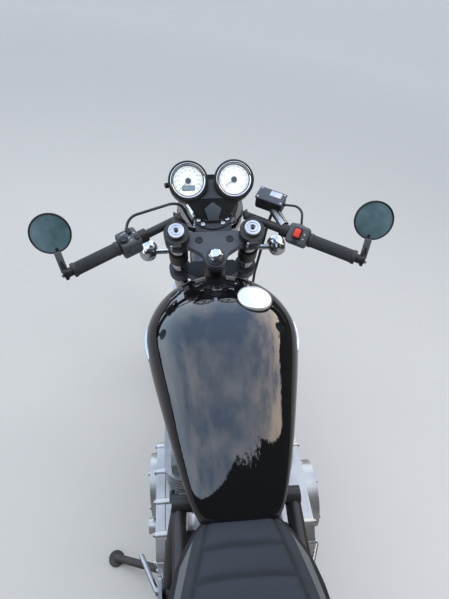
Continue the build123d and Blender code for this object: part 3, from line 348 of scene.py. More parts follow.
def cut_plate(corners, step, rounding=0.0, edge=0.0006, segments=2):
    """A flat plate cut to an outline of corners, drawn out by a step, with round corners and eased edges."""
    outline = bpy.data.meshes.new("plate")
    outline.from_pydata(corners, [], [tuple(range(len(corners)))])
    plate = added("plate", outline)
    alone(plate)
    edit_all()
    if rounding:
        bpy.ops.mesh.bevel(offset=rounding, affect="VERTICES", segments=6)
        bpy.ops.mesh.select_all(action="SELECT")
    bpy.ops.mesh.extrude_region_move(TRANSFORM_OT_translate={"value": step})
    face_out()
    return eased(plate, edge, segments)


cast_alloy = weathered("cast_alloy", (0.44, 0.435, 0.42), (0.7, 0.69, 0.67), 0.3, 0.48, 1400, 0.00012,
                       patch=14, Metallic=0.85)
for node in ("crankcase", "engine_covers"):
    dressed(node, "frame", cast_alloy, eased=0.003)
# The covers' outlines and their screw posts, as (x, z)
left_cover = [(0.588, 0.353), (0.6385, 0.2985), (0.8, 0.2805), (0.8815, 0.2985), (0.9145, 0.38),
              (0.8875, 0.464), (0.8, 0.476), (0.639, 0.464), (0.59, 0.431)]
right_cover = [(0.598, 0.372), (0.631, 0.2985), (0.74, 0.2805), (0.881, 0.2905), (0.9245, 0.36),
               (0.91, 0.4415), (0.8505, 0.472), (0.639, 0.468), (0.602, 0.431)]
left_posts = [(0.646, 0.457), (0.72, 0.4635), (0.796, 0.4685), (0.873, 0.4585), (0.598, 0.42), (0.904, 0.384),
              (0.873, 0.308), (0.8, 0.29), (0.72, 0.298), (0.645, 0.307), (0.6, 0.356)]
right_posts = [(0.846, 0.463), (0.9, 0.436), (0.914, 0.364), (0.876, 0.3), (0.638, 0.307), (0.608, 0.372),
               (0.612, 0.427), (0.646, 0.459)]
case_wall = 0.1205
joint_inset = 0.034
post_foot = 0.006
sunk = 0.0005
screw_radius = 0.0052
screw_tall = 0.005
joints, posts, cover_screws = [], [], []
for corners, post_places, side, outer in ((left_cover, left_posts, 1, 0.1795),
                                          (right_cover, right_posts, -1, 0.2015)):
    for level, thick in ((case_wall, 0.002), (case_wall + joint_inset, 0.0016)):
        flat = [(x, side * level, z) for x, z in corners]
        joints.append(cut_plate(flat, (0, side * thick, 0), rounding=0.027))
    tall = outer - case_wall - post_foot
    for x, z in post_places:
        posts.append(turned([(0.0094, 0), (0.0088, tall - 0.002), (0.0076, tall)],
                            outboard(x, side, case_wall + post_foot, z), sides=28))
        cover_screws.append(socket_bolt(screw_radius, screw_tall, outboard(x, side, outer - sunk, z)))
round_covers = ((0.805, 0.382, 0.1956, 1, 0.071), (0.752, 0.378, 0.2296, -1, 0.073))
for number in range(5):
    turn = 2 * math.pi * (number + 0.3) / 5
    for middle_x, middle_z, level, side, reach in round_covers:
        x, z = around(middle_x, middle_z, reach, turn)
        cover_screws.append(socket_bolt(screw_radius, screw_tall, outboard(x, side, level, z)))
gasket_grey = weathered("gasket_grey", (0.09, 0.09, 0.085), (0.16, 0.16, 0.15), 0.6, 0.8, 900, 0.00005)
screw_steel = weathered("screw_steel", (0.45, 0.45, 0.46), (0.68, 0.68, 0.69), 0.2, 0.34, 1500, 0.00003,
                        patch=40, Metallic=1)
settle(joined(joints), "cover_gaskets", "frame", gasket_grey)
settle(joined(posts), "cover_posts", "frame", cast_alloy)
settle(joined(cover_screws), "cover_screws", "frame", screw_steel)
fin_alloy = weathered("fin_alloy", (0.32, 0.33, 0.34), (0.58, 0.59, 0.6), 0.38, 0.6, 900, 0.00016, patch=22,
                      Metallic=0.8)
for node in ("cylinder_block", "cylinder_head"):
    dressed(node, "frame", fin_alloy, eased=0.0008)

# Carburettors and airbox
# Die-cast bodies clamped on rubber stubs behind the head, with a moulded plastic box behind them. A
# black knob on a stem at the left draws out the choke.
dressed("carburettors", "frame", cast_alloy)
knob_black = weathered("knob_black", (0.01, 0.01, 0.011), (0.024, 0.024, 0.026), 0.35, 0.5, 1300, 0.00006)
knob_x, knob_z = 0.648, 0.65
stem = turned([(0.0055, 0), (0.0055, 0.014), (0.0048, 0.016)], outboard(knob_x, 1, 0.112, knob_z), sides=28)
cross = turned([(0.0042, -0.012), (0.0056, -0.009), (0.0056, 0.009), (0.0042, 0.012)],
               facing((knob_x, 0.126, knob_z), (1, 0, 0)), sides=28)
settle(joined([stem, cross]), "choke_knob", "frame", knob_black)
box_plastic = weathered("box_plastic", (0.014, 0.014, 0.015), (0.035, 0.035, 0.037), 0.45, 0.62, 1600, 0.0001)
dressed("airbox", "frame", box_plastic, eased=0.002)

# Exhaust
# Bent steel pipes and long tapered silencers in bright chrome. The pipes are clamped in the ports,
# and the silencers hang from the frame behind the footrests.
chrome = weathered("chrome", (0.62, 0.63, 0.65), (0.86, 0.87, 0.89), 0.04, 0.14, 400, 0.00002, Metallic=1)
dressed("header_pipes", "frame", chrome)
dressed("silencers", "frame", chrome, eased=0.0012)


# Wheels, discs and drive
# Chromed steel rims laced with crossed spokes to alloy hubs, with ground steel discs bolted to them
# and a steel chain. Nuts on washers hold the axles, and the discs float on six bobbins each.
def repaint(piece, finish, test):
    """Gives a second finish to the faces whose upright middle passes a test."""
    piece.data.materials.append(finish.material)
    back = parked.inverted()
    for face in piece.data.polygons:
        if test(back @ face.center):
            face.material_index = len(piece.data.materials) - 1


bright_steel = weathered("bright_steel", (0.4, 0.4, 0.41), (0.66, 0.66, 0.67), 0.16, 0.32, 1800, 0.00003,
                         patch=30, Metallic=1)
laced_front = dressed("front_wheel", "front_wheel", chrome, eased=0)
laced_rear = dressed("rear_wheel", "rear_wheel", chrome, eased=0)
hub_alloy = weathered("hub_alloy", (0.42, 0.42, 0.43), (0.62, 0.62, 0.63), 0.3, 0.45, 1200, 0.00006,
                      Metallic=0.9)
spoke_reach = 0.198
hub_reach = 0.068
for laced, x, z in ((laced_front, wheelbase, front_wheel_radius), (laced_rear, 0, rear_wheel_radius)):
    for metal, reach in ((bright_steel, spoke_reach), (hub_alloy, hub_reach)):
        repaint(laced, metal, lambda place: math.hypot(place.x - x, place.z - z) < reach)
for node, body in (("front_disc", "front_wheel"), ("rear_disc", "rear_wheel"),
                   ("rear_sprocket", "rear_wheel"), ("front_axle", "fork"), ("rear_axle", "frame")):
    dressed(node, body, bright_steel)


def hex_nut(across, tall, place):
    """A nut: six sides with its outer corners turned off, on a flat washer."""
    washer_thick = 0.0014
    nut = stub(6, across / 2, tall, 0.001 + tall / 2, place, across * 0.05)
    washer = turned([(across * 0.58, 0), (across * 0.58, washer_thick)], place, sides=36)
    return joined([nut, washer])


def disc_bolts(x, z, level, inner, outer):
    """Six cap screws on a hub's right face, and the bobbins between them that hold the disc."""
    bolts = []
    for number in range(6):
        turn = math.pi * (number + 0.5) / 3
        bolt_x, bolt_z = around(x, z, inner, turn)
        bolts.append(socket_bolt(screw_radius, 0.0042, outboard(bolt_x, -1, level - 0.0004, bolt_z)))
        bobbin_x, bobbin_z = around(x, z, outer, turn - math.pi / 6)
        bolts.append(turned([(0.0088, 0), (0.0088, 0.0009), (0.0078, 0.0016), (0.0052, 0.0016),
                             (0.0046, 0.0008)],
                            outboard(bobbin_x, -1, level - 0.0003, bobbin_z), sides=32))
    return bolts


def axle_nuts(x, z, half):
    """A nut and the axle's turned end on both sides of a wheel."""
    ends = []
    for side in (1, -1):
        end = outboard(x, side, half - 0.0008, z)
        ends.append(hex_nut(0.028, 0.009, end))
        ends.append(turned([(0.0075, 0.008), (0.0075, 0.0125), (0.0065, 0.0135)], end, sides=32))
    return ends


sprocket_face = 0.0978
sprocket_nuts = []
for number in range(6):
    x, z = around(0, rear_wheel_radius, 0.056, math.pi * (number + 0.5) / 3)
    sprocket_nuts.append(hex_nut(0.013, 0.0035, outboard(x, 1, sprocket_face, z)))
front_bolts = disc_bolts(wheelbase, front_wheel_radius, 0.057, 0.05, 0.1175)
rear_bolts = disc_bolts(0, rear_wheel_radius, 0.088, 0.047, 0.0885) + sprocket_nuts
settle(joined(axle_nuts(wheelbase, front_wheel_radius, 0.122)), "front_axle_nuts", "fork", screw_steel)
settle(joined(axle_nuts(0, rear_wheel_radius, 0.143)), "rear_axle_nuts", "frame", screw_steel)
settle(joined(front_bolts), "front_disc_bolts", "front_wheel", screw_steel)
settle(joined(rear_bolts), "rear_disc_bolts", "rear_wheel", screw_steel)
chain_steel = weathered("chain_steel", (0.12, 0.11, 0.1), (0.34, 0.33, 0.31), 0.25, 0.5, 900, 0.00008,
                        patch=60, Metallic=0.9)
dressed("drive_chain", "frame", chain_steel, eased=0)

# Tyres
# Black road rubber over wired beads, greyed by dust on the sidewalls, with slanting grooves cut each
# side of a plain middle rib.
grooves_round = 64
groove_slant = 210
rib_half = 0.007
tread_radius = 0.283
for node, body, middle in (("front_tyre", "front_wheel", (wheelbase, 0, front_wheel_radius)),
                           ("rear_tyre", "rear_wheel", (0, 0, rear_wheel_radius))):
    rubber = Finish(node + "_rubber")
    along, across, tall = rubber.axes(rubber.upright(middle))
    turn = rubber.math("ARCTAN2", tall, along)
    span = rubber.math("ABSOLUTE", across)
    radius = rubber.math("SQRT", along * along + tall * tall)
    wave = rubber.math("SINE", turn * grooves_round + span * groove_slant)
    groove = (wave > 0.62) * (span > rib_half) * (radius > tread_radius)
    fine = rubber.noise(800, detail=2)
    tone = rubber.blend(rubber.spread(rubber.noise(9), 0, 1), (0.014, 0.014, 0.014), (0.045, 0.043, 0.04))
    # The grooves are painted near black: painted shade in the recesses, on top of their relief.
    rubber.feed(Base_Color=rubber.blend(groove, tone, (0.004, 0.004, 0.004)),
                Roughness=rubber.spread(fine, 0.62, 0.88))
    rubber.relief(fine * 0.06 - groove, 0.0025)
    dressed(node, body, rubber, eased=0)

# Brakes and suspension
# Alloy sliders on chromed fork tubes in front, and two sprung struts behind, nutted to studs on the
# frame and the swingarm. The calipers are painted castings.
dressed("front_caliper", "fork", frame_enamel, eased=0.002)
dressed("rear_caliper", "frame", frame_enamel, eased=0.002)
dressed("fork_tubes", "fork", chrome)
slider_alloy = weathered("slider_alloy", (0.5, 0.5, 0.51), (0.72, 0.72, 0.73), 0.18, 0.32, 1500, 0.00004,
                         Metallic=1)
dressed("fork_sliders", "fork", slider_alloy, eased=0.001)
dressed("rear_shocks", "frame", chrome)
strut_eyes = ((0.135, 0.69), (0.04, 0.354))
strut_face = 0.1645
strut_nuts = [hex_nut(0.021, 0.008, outboard(x, side, strut_face, z)) for side in (1, -1)
              for x, z in strut_eyes]
settle(joined(strut_nuts), "strut_nuts", "frame", screw_steel)

# Yokes
# Cast alloy plates, blacked and baked, with fine machined edges. Two rubber-bushed holes, a chromed
# stem nut on its washer, and the hollow fork caps with their adjusters.
rake = math.radians(27)
fork_up = Vector((-math.sin(rake), 0, math.cos(rake)))
fork_front = Vector((math.cos(rake), 0, math.sin(rake)))
leg_forward = 0.0582
leg_side = 0.0946
steering_foot = front_axle - fork_front * leg_forward


def on_fork(forward, side, up):
    """A place matrix on the fork: X forward, Y left and Z up it, from the foot of the steering axis."""
    made = Matrix((fork_front, Vector((0, 1, 0)), fork_up)).transposed().to_4x4()
    made.translation = steering_foot + fork_front * forward + Vector((0, side, 0)) + fork_up * up
    return made


def moved(place, x, y, z):
    """A place matrix shifted along its own axes."""
    return place @ Matrix.Translation((x, y, z))


def repeated(model, places):
    """One piece made of copies of a model, each with its own mesh, set by place matrices."""
    copies = []
    for place in places:
        copy = added(model.name, model.data.copy())
        copy.matrix_world = place
        copies.append(copy)
    bpy.data.objects.remove(model)
    return joined(copies)


def block(size, place, rounding=0.0015):
    """A rectangular block with eased edges, standing on a place."""
    bpy.ops.mesh.primitive_cube_add(size=1, location=(0, 0, size[2] / 2))
    piece = bpy.context.object
    piece.scale = size
    bpy.ops.object.transform_apply(location=True, scale=True)
    eased(piece, rounding, 3)
    piece.matrix_world = place
    return piece


yoke_enamel = weathered("yoke_enamel", (0.042, 0.049, 0.064), (0.066, 0.076, 0.096), 0.36, 0.5, 1300, 0.00007)
dressed("top_yoke", "fork", yoke_enamel, eased=0.0015)
dressed("bottom_yoke", "fork", yoke_enamel, eased=0.0008)
nut_chrome = weathered("nut_chrome", (0.75, 0.75, 0.76), (0.9, 0.9, 0.91), 0.05, 0.16, 700, 0.00002,
                       Metallic=1)
yoke_top = 0.683
stem_top = on_fork(0, 0, yoke_top)
washer = turned([(0.0225, 0.0006), (0.0235, 0.0016), (0.0235, 0.0036), (0.0215, 0.0046)], stem_top)
settle(washer, "stem_washer", "fork", frame_enamel)
nut = stub(6, 0.0185, 0.011, 0.0105, stem_top, 0.0016, 3)
dome = turned([(0.0155, 0.016), (0.0155, 0.0195), (0.0148, 0.0218), (0.0125, 0.0236), (0.009, 0.0246),
               (0.0086, 0.0238)], stem_top, crisp=50, dip=0.004)
settle(joined([nut, dome]), "stem_nut", "fork", nut_chrome)
bushes, caps, adjusters = [], [], []
for side in (1, -1):
    hole = on_fork(0.05, side * 0.039, yoke_top)
    bushes.append(turned([(0.0058, -0.004), (0.0058, 0.0012), (0.0086, 0.0014), (0.0098, 0.0003),
                          (0.0098, -0.004)],
                         hole, hollow=True))
    bushes.append(turned([(0.0058, -0.004), (0.0058, 0.0002)], hole))
    leg_top = on_fork(leg_forward, side * leg_side, 0.7212)
    caps.append(turned([(0.0206, -0.004), (0.0208, 0.0012), (0.0196, 0.0028), (0.0142, 0.003),
                        (0.0136, 0.0014), (0.0126, 0.0014), (0.0122, 0.0032), (0.0078, 0.0034),
                        (0.0072, 0.0008)], leg_top, crisp=40))
    adjusters.append(stub(6, 0.0056, 0.004, 0.0024, leg_top))
bush_black = weathered("bush_black", (0.004, 0.004, 0.005), (0.01, 0.01, 0.011), 0.3, 0.5, 900, 0.00005)
settle(joined(bushes), "yoke_bushes", "fork", bush_black)
cap_alloy = weathered("cap_alloy", (0.55, 0.56, 0.58), (0.74, 0.75, 0.77), 0.2, 0.34, 1700, 0.00004, patch=40,
                      Metallic=0.9)
settle(joined(caps), "fork_caps", "fork", cap_alloy)
settle(joined(adjusters), "damper_screws", "fork", frame_enamel)

# Clip-on clamps
# Short bars in cast clamps below the yoke, enamelled black. Each clamp has a split lug behind the
# fork tube, drawn up by two plated cap screws.
dressed("clip_ons", "fork", frame_enamel, eased=0.001)
lugs, bolts = [], []
for side in (1, -1):
    lugs.append(block((0.016, 0.022, 0.026), on_fork(leg_forward - 0.034, side * leg_side, 0.6848), 0.003))
    for level in (0.6905, 0.705):
        head = on_fork(leg_forward - 0.036, side * leg_side + 0.0105, level)
        bolts.append(socket_bolt(0.0044, 0.0055, head @ Matrix.Rotation(-math.pi / 2, 4, "X")))
settle(joined(lugs), "clamp_lugs", "fork", frame_enamel)
settle(joined(bolts), "clamp_screws", "fork", cap_alloy)

# Grips
# Moulded rubber sleeves with slanting ribs between two plain collars, pushed over the bars' ends and
# glued.
bar_root = on_fork(0.1029, 0.098, 0.6933).translation
bar_tip = on_fork(-0.0418, 0.352, 0.7199).translation
bar_out = (bar_tip - bar_root).normalized()
grip_rubber = weathered("grip_rubber", (0.022, 0.023, 0.026), (0.045, 0.047, 0.052), 0.42, 0.62, 900, 0.00006)


def along_bar(from_tip, side):
    """A place matrix on the bar, its Z to the bar's end, at a distance in from the end."""
    mirror = Vector((1, side, 1))
    return facing((bar_tip - bar_out * from_tip) * mirror, bar_out * mirror, (0.45, 0, 0.89))


def ribbed_sleeve(length, radius, depth, ribs, steps, twist, place):
    """A sleeve whose slanting ribs come from turning a star-shaped section as it is drawn out."""
    bpy.ops.mesh.primitive_circle_add(vertices=ribs * 4, radius=radius, fill_type="NGON")
    sleeve = bpy.context.object
    for number, corner in enumerate(sleeve.data.vertices):
        if number % 4 in (0, 1):
            corner.co *= (radius - depth) / radius
    edit_all()
    for step in range(steps):
        bpy.ops.mesh.extrude_region_move(TRANSFORM_OT_translate={"value": (0, 0, length / steps)})
        bpy.ops.transform.rotate(value=twist / steps, orient_axis="Z", center_override=(0, 0, 0))
    face_out()
    bpy.ops.object.shade_smooth_by_angle(angle=math.radians(50))
    sleeve.matrix_world = place
    return sleeve


collar_wide = 0.009
rib_count = 26
sleeves = []
for side in (1, -1):
    sleeves.append(ribbed_sleeve(0.104, 0.0161, 0.0011, rib_count, rib_count, side * 1.35,
                                 along_bar(0.1265, side)))
    for start in (0.1355, 0.0225):
        collar = [(0.0168, 0), (0.0178, 0.0012), (0.0178, collar_wide - 0.0012), (0.0168, collar_wide)]
        sleeves.append(turned(collar, along_bar(start, side), core=0.011))
settle(joined(sleeves), "grip_sleeves", "fork", grip_rubber, "grips")

# Switches
# Two-part moulded housings, grained and screwed together round the bars, with a round horn button and
# rockers on the left and a red stop switch on the right. Their small white marks are plain bars.
housing_plastic = weathered("housing_plastic", (0.05, 0.054, 0.062), (0.085, 0.091, 0.102), 0.4, 0.56, 1500,
                            0.0001)
button_black = weathered("button_black", (0.008, 0.008, 0.009), (0.02, 0.02, 0.022), 0.25, 0.4, 1200, 0.00005)
switch_red = weathered("switch_red", (0.62, 0.03, 0.02), (0.75, 0.06, 0.04), 0.3, 0.42, 1200, 0.00004)
mark_white = weathered("mark_white", (0.6, 0.61, 0.62), (0.75, 0.76, 0.77), 0.4, 0.6, 900, 0.00002)
face_turn = 0.3
half_tall = 0.0246


def on_housing(side, from_tip, turn):
    """A place matrix on a switch housing: Z out of its face, X along the bar, turned about the bar."""
    base = along_bar(from_tip, side)
    out = base.to_3x3() @ Vector((0, 0, 1))
    start = Vector((-0.62, 0, 0.78))
    normal = Matrix.Rotation(turn, 3, out) @ (start - out * start.dot(out)).normalized()
    return facing(base.translation, normal, out)


def on_face(side, from_tip, across, level=0.0):
    """A place on a housing's flat upper face, away from the bar's line, at a level over the face."""
    return moved(on_housing(side, from_tip, face_turn), 0, across, 0.025 + level)


halves, screws = [], []
for side in (1, -1):
    for turn in (face_turn, face_turn + math.pi):
        halves.append(block((0.053, 0.051, half_tall), moved(on_housing(side, 0.164, turn), 0, 0, 0.0004),
                            0.0075))
    halves.append(block((0.03, 0.026, 0.022), moved(on_housing(side, 0.168, -0.85), 0, 0, 0.006), 0.008))
    for from_tip in (0.1445, 0.1835):
        under = on_housing(side, from_tip, face_turn + math.pi)
        screws.append(socket_bolt(0.0032, 0.002, moved(under, 0, 0, half_tall + 0.0002)))
horn = on_face(1, 0.15, 0.004)
stop_plate = on_face(-1, 0.166, 0.003, -0.0015)
buttons = [turned([(0.0088, -0.003), (0.0088, 0.0038), (0.0078, 0.0048)], horn, crown=0.0002),
           turned([(0.01, -0.003), (0.01, 0.0014), (0.0116, 0.0014), (0.0116, -0.003)], horn, hollow=True),
           block((0.01, 0.014, 0.006), on_face(1, 0.181, 0.013, -0.002), 0.0015),
           block((0.009, 0.02, 0.009), on_face(1, 0.172, -0.014, -0.003), 0.002),
           block((0.021, 0.029, 0.004), stop_plate, 0.0016),
           turned([(0.0068, -0.003), (0.0068, 0.003), (0.006, 0.0038)], on_face(-1, 0.166, -0.019),
                  crown=0.0002)]
mark_places = ((1, 0.166, 0.013), (1, 0.165, 0.004), (1, 0.1535, -0.013), (1, 0.161, -0.014),
               (1, 0.1815, -0.004), (-1, 0.148, 0.006), (-1, 0.148, -0.006))
marks = [block((0.0042, 0.0018, 0.0003), on_face(*place), 0.00008) for place in mark_places]
rocker = block((0.0155, 0.0215, 0.009), on_face(-1, 0.166, 0.003, 0.001), 0.0032)
settle(joined(halves), "housing_shells", "fork", housing_plastic, "switch_housings")
settle(joined(buttons), "switch_buttons", "fork", button_black)
settle(rocker, "stop_switch", "fork", switch_red)
settle(joined(marks), "switch_marks", "fork", mark_white)
settle(joined(screws), "housing_screws", "fork", cap_alloy)
dressed("switch_looms", "fork", grip_rubber, eased=0)

# Levers and reservoir
# Polished alloy levers with ball ends on black perches. The square reservoir is black with a plain
# bare plate on its lid, held by four countersunk screws, and a rubber hose runs down from it.
lever_alloy = weathered("lever_alloy", (0.5, 0.5, 0.51), (0.72, 0.72, 0.73), 0.2, 0.34, 1500, 0.00004,
                        Metallic=0.9)
levers = dressed("lever_sets", "fork", lever_alloy, eased=0.0012)
reservoir_at = on_fork(0.1373, -0.15, 0.6926).translation
reservoir_foot = 0.945
perch_middle = bar_tip - bar_out * 0.2015


def on_perch(point):
    """True on the perches and the reservoir, false on the lever blades."""
    place = Vector((point.x, abs(point.y), point.z)) - perch_middle
    along = place.dot(bar_out)
    perch = (place - bar_out * along).length < 0.019 and abs(along) < 0.013
    return perch or point.y < 0 and (point - reservoir_at).length < 0.058 and point.z > reservoir_foot


repaint(levers, frame_enamel, on_perch)
lid_place = facing(reservoir_at, (-0.25, 0, 0.97), bar_out * Vector((1, -1, 1)))
settle(block((0.0735, 0.0435, 0.005), moved(lid_place, 0, 0, 0.0302), 0.0022), "reservoir_lid", "fork",
       yoke_enamel)
bare_plate = weathered("bare_plate", (0.5, 0.52, 0.54), (0.68, 0.69, 0.71), 0.25, 0.42, 1400, 0.00004,
                       patch=60, Metallic=0.7)
plate = block((0.03, 0.018, 0.0004), moved(lid_place, 0.01, 0.008, 0.0352), 0.0001)
settle(plate, "reservoir_plate", "fork", bare_plate)
lid_screws = [socket_bolt(0.0026, 0.001, moved(lid_place, x, y, 0.0348)) for x in (-0.031, 0.031)
              for y in (-0.016, 0.016)]
settle(joined(lid_screws), "reservoir_screws", "fork", cap_alloy)
balls = []
for side in (1, -1):
    tip = (bar_tip - bar_out * 0.008 + Vector((0.82, 0, -0.57)) * 0.046) * Vector((1, side, 1))
    bpy.ops.mesh.primitive_uv_sphere_add(segments=28, ring_count=18, radius=0.0085, location=tip)
    balls.append(bpy.context.object)
    bpy.ops.object.shade_smooth()
settle(joined(balls), "lever_balls", "fork", lever_alloy)
dressed("brake_hose", "fork", grip_rubber, eased=0)

# Mirrors
# Round glasses rimmed in thin black shells on flat arms, each clamped round a bar's end by a cap
# screw. The glass's colour is a painted reflection: blotches of dark teal and pale blue-grey for trees and
# sky.
shells = dressed("mirrors", "fork", button_black, eased=0.0012)
mirror_glass = Finish("mirror_glass", Metallic=0.4)
# The glass's base colour is a painted reflection of trees and sky in noise blotches; the same noise varies
# its gloss.
reflection_blotches = mirror_glass.noise(13, detail=5)
painted_reflection = mirror_glass.blend(mirror_glass.spread(reflection_blotches, 0, 1), (0.08, 0.15, 0.175), (0.24, 0.36, 0.42))
mirror_glass.feed(Base_Color=painted_reflection, Roughness=mirror_glass.spread(reflection_blotches, 0.02, 0.09))
arm_thick = 0.0104
glasses, rims, arms, bar_screws = [], [], [], []
for side in (1, -1):
    centre = on_fork(0.0333, side * 0.378, 0.777).translation
    face = Vector((-0.92, -0.12 * side, 0.37)).normalized()
    seat = facing(centre, face)
    for corner in shells.data.vertices:
        place = parked.inverted() @ corner.co
        proud = (place - centre).dot(face) + 0.0004
        if proud > 0 and (place - centre).length < 0.05:
            corner.co = parked @ (place - face * proud)
    glasses.append(turned([(0.0438, 0.0002), (0.0438, 0.0006), (0.03, 0.0011)], seat, sides=96, crisp=60,
                          crown=0.0004))
    rims.append(turned([(0.0436, 0.0001), (0.0472, 0.0001), (0.0474, 0.0015), (0.0466, 0.0028),
                        (0.045, 0.003), (0.0436, 0.0016)], seat, sides=96, crisp=60, hollow=True))
    clamp = (bar_tip + bar_out * 0.005) * Vector((1, side, 1))
    edge = centre + (clamp - centre).normalized() * 0.045 - face * 0.0105
    reach = edge - clamp
    back = face - reach * (face.dot(reach) / reach.length_squared)
    arm_place = facing((edge + clamp) / 2 - back * (arm_thick / 2), face, reach)
    arms.append(block((reach.length + 0.002, 0.016, arm_thick), arm_place, 0.003))
    bar_screws.append(socket_bolt(0.0062, 0.005, along_bar(-0.0085, side)))
arm_grey = weathered("arm_grey", (0.05, 0.053, 0.06), (0.09, 0.094, 0.105), 0.35, 0.5, 1200, 0.00005)
settle(joined(arms), "mirror_arms", "fork", arm_grey)
settle(joined(bar_screws), "bar_end_screws", "fork", cap_alloy)
settle(joined(glasses), "mirror_glasses", "fork", mirror_glass)
settle(joined(rims), "mirror_rims", "fork", button_black)

# Clocks
# Two round clocks in black cups on a pressed bracket. White dials under glass in chrome rings, with
# printed ticks, plain figures, a dark hub and needle each, and a small display in the left one.
cup_black = weathered("cup_black", (0.01, 0.011, 0.013), (0.024, 0.026, 0.03), 0.28, 0.42, 1100, 0.00005)
dressed("instruments", "fork", cup_black, eased=0.0012)
dial_white = weathered("dial_white", (0.9, 0.93, 0.93), (0.96, 0.98, 0.98), 0.4, 0.55, 800, 0.00001)
tick_blue = weathered("tick_blue", (0.2, 0.27, 0.34), (0.26, 0.33, 0.4), 0.4, 0.55, 800, 0.00001)
hub_grey = weathered("hub_grey", (0.05, 0.07, 0.09), (0.09, 0.11, 0.13), 0.25, 0.4, 800, 0.00002)
window_grey = weathered("window_grey", (0.18, 0.26, 0.33), (0.27, 0.36, 0.43), 0.12, 0.2, 500, 0.00001)
clock_tilt = math.radians(40)
clock_axis = Vector((-math.cos(clock_tilt), 0, math.sin(clock_tilt)))
clock_forward, clock_up = 0.1829, 0.7468
scale_start, scale_sweep = 225, 270
tick_count = 60


def on_scale(share):
    """The turn of a reading on a dial, as a share of the full scale."""
    return math.radians(scale_start - scale_sweep * share)


def figure(text, place):
    """A printed figure, a little raised."""
    bpy.ops.object.text_add()
    made = bpy.context.object
    made.data.body = text
    made.data.size = 0.0058
    made.data.align_x = "CENTER"
    made.data.align_y = "CENTER"
    made.data.extrude = 0.00008
    bpy.ops.object.convert(target="MESH")
    made.matrix_world = place
    return made


rings, dials, ticks, hubs, seats, glazing, cups = [], [], [], [], [], [], []
# Each clock as (side of the middle, top figure, step of its figures, where its hand rests)
for side, top_figure, figure_step, rest in ((0.0588, 11, 10, 225), (-0.0562, 8, 1, 215)):
    dial = facing(on_fork(clock_forward, side, clock_up).translation, clock_axis, (0, -1, 0))
    cups.append(turned([(0.026, -0.078), (0.039, -0.074), (0.0468, -0.064), (0.0498, -0.05), (0.0506, -0.002),
                        (0.0502, 0.0018), (0.0488, 0.0034), (0.0466, 0.0036), (0.0448, 0.0022),
                        (0.0444, -0.002)],
                       dial, sides=96, crisp=60))
    rings.append(turned([(0.0392, -0.001), (0.0392, 0.0036), (0.0402, 0.005), (0.0422, 0.0062),
                         (0.0438, 0.006), (0.0448, 0.0044), (0.0449, -0.001)], dial, sides=120, crisp=60,
                         hollow=True))
    seats.append(turned([(0.0368, 0.0001), (0.0368, 0.0012), (0.0378, 0.0028), (0.0394, 0.0038),
                         (0.0394, 0.0001)],
                        dial, sides=96, hollow=True))
    dials.append(turned([(0.0374, 0), (0.0374, 0.0006)], dial, sides=96))
    for number in range(tick_count + 1):
        turn = on_scale(number / tick_count)
        long, wide = (0.0052, 0.0011) if number % 5 == 0 else (0.0026, 0.0006)
        spot = moved(dial, *around(0, 0, 0.033, turn), 0.0006) @ Matrix.Rotation(turn, 4, "Z")
        ticks.append(block((long, wide, 0.00016), spot, 0.00003))
    for number in range(top_figure + 1):
        turn = on_scale(number / top_figure)
        ticks.append(figure(str(number * figure_step), moved(dial, *around(0, 0, 0.0262, turn), 0.00075)))
    hand = dial @ Matrix.Rotation(math.radians(rest), 4, "Z")
    ticks.append(block((0.03, 0.0013, 0.0006), moved(hand, 0.012, 0, 0.0022), 0.0002))
    hubs.append(turned([(0.0072, 0.0006), (0.0072, 0.0034), (0.006, 0.0046)], dial, crown=0.0004))
    glazing.append(turned([(0.0394, 0.0046), (0.0394, 0.0052), (0.02, 0.0056)], dial, sides=96, crisp=60,
                          crown=0.0001))
    if side > 0:
        seats.append(block((0.031, 0.0128, 0.0007), moved(dial, 0, -0.0178, 0.0006), 0.0004))
        display = block((0.0282, 0.01, 0.0004), moved(dial, 0, -0.0178, 0.0012), 0.0001)
settle(joined(rings), "clock_rings", "fork", nut_chrome, "instrument_bezels")
settle(joined(seats), "clock_seats", "fork", cup_black)
settle(joined(cups), "clock_cups", "fork", cup_black)
settle(joined(dials), "clock_dials", "fork", dial_white)
settle(joined(ticks), "clock_ticks", "fork", tick_blue)
settle(joined(hubs), "clock_hubs", "fork", hub_grey)
settle(display, "clock_display", "fork", window_grey)
clock_glass = Finish("clock_glass", Alpha=0.03, IOR=1.2, Specular_IOR_Level=0.1)
wiped = clock_glass.noise(9)
clock_glass.feed(Base_Color=clock_glass.blend(wiped, (0.75, 0.8, 0.85), (0.9, 0.93, 0.95)),
                 Roughness=clock_glass.spread(wiped, 0.02, 0.07))
settle(joined(glazing), "clock_glass", "fork", clock_glass)
knob_at = on_fork(clock_forward, 0.056, clock_up).translation + Vector((0.004, 0.05, -0.012))
knob = turned([(0.003, -0.006), (0.003, 0.003), (0.0062, 0.003), (0.0068, 0.004), (0.0068, 0.011),
               (0.006, 0.012)],
              facing(knob_at, (-0.35, 0.93, 0.1)), crown=0.0002)
settle(knob, "trip_knob", "fork", button_black)


# Clock bracket
# A black moulded skirt carries both cups down to a plate on the top yoke, held by four plated screws.
# A raised diamond pad lies on the skirt's sloping back; its blue-grey colour is a painted reflection of the
# sky.
def fuller(value, power):
    """A number from -1 to 1 raised to a power, with its sign kept, so that a curve bulges or pinches."""
    return math.copysign(abs(value) ** power, value)


skirt_sides = 48
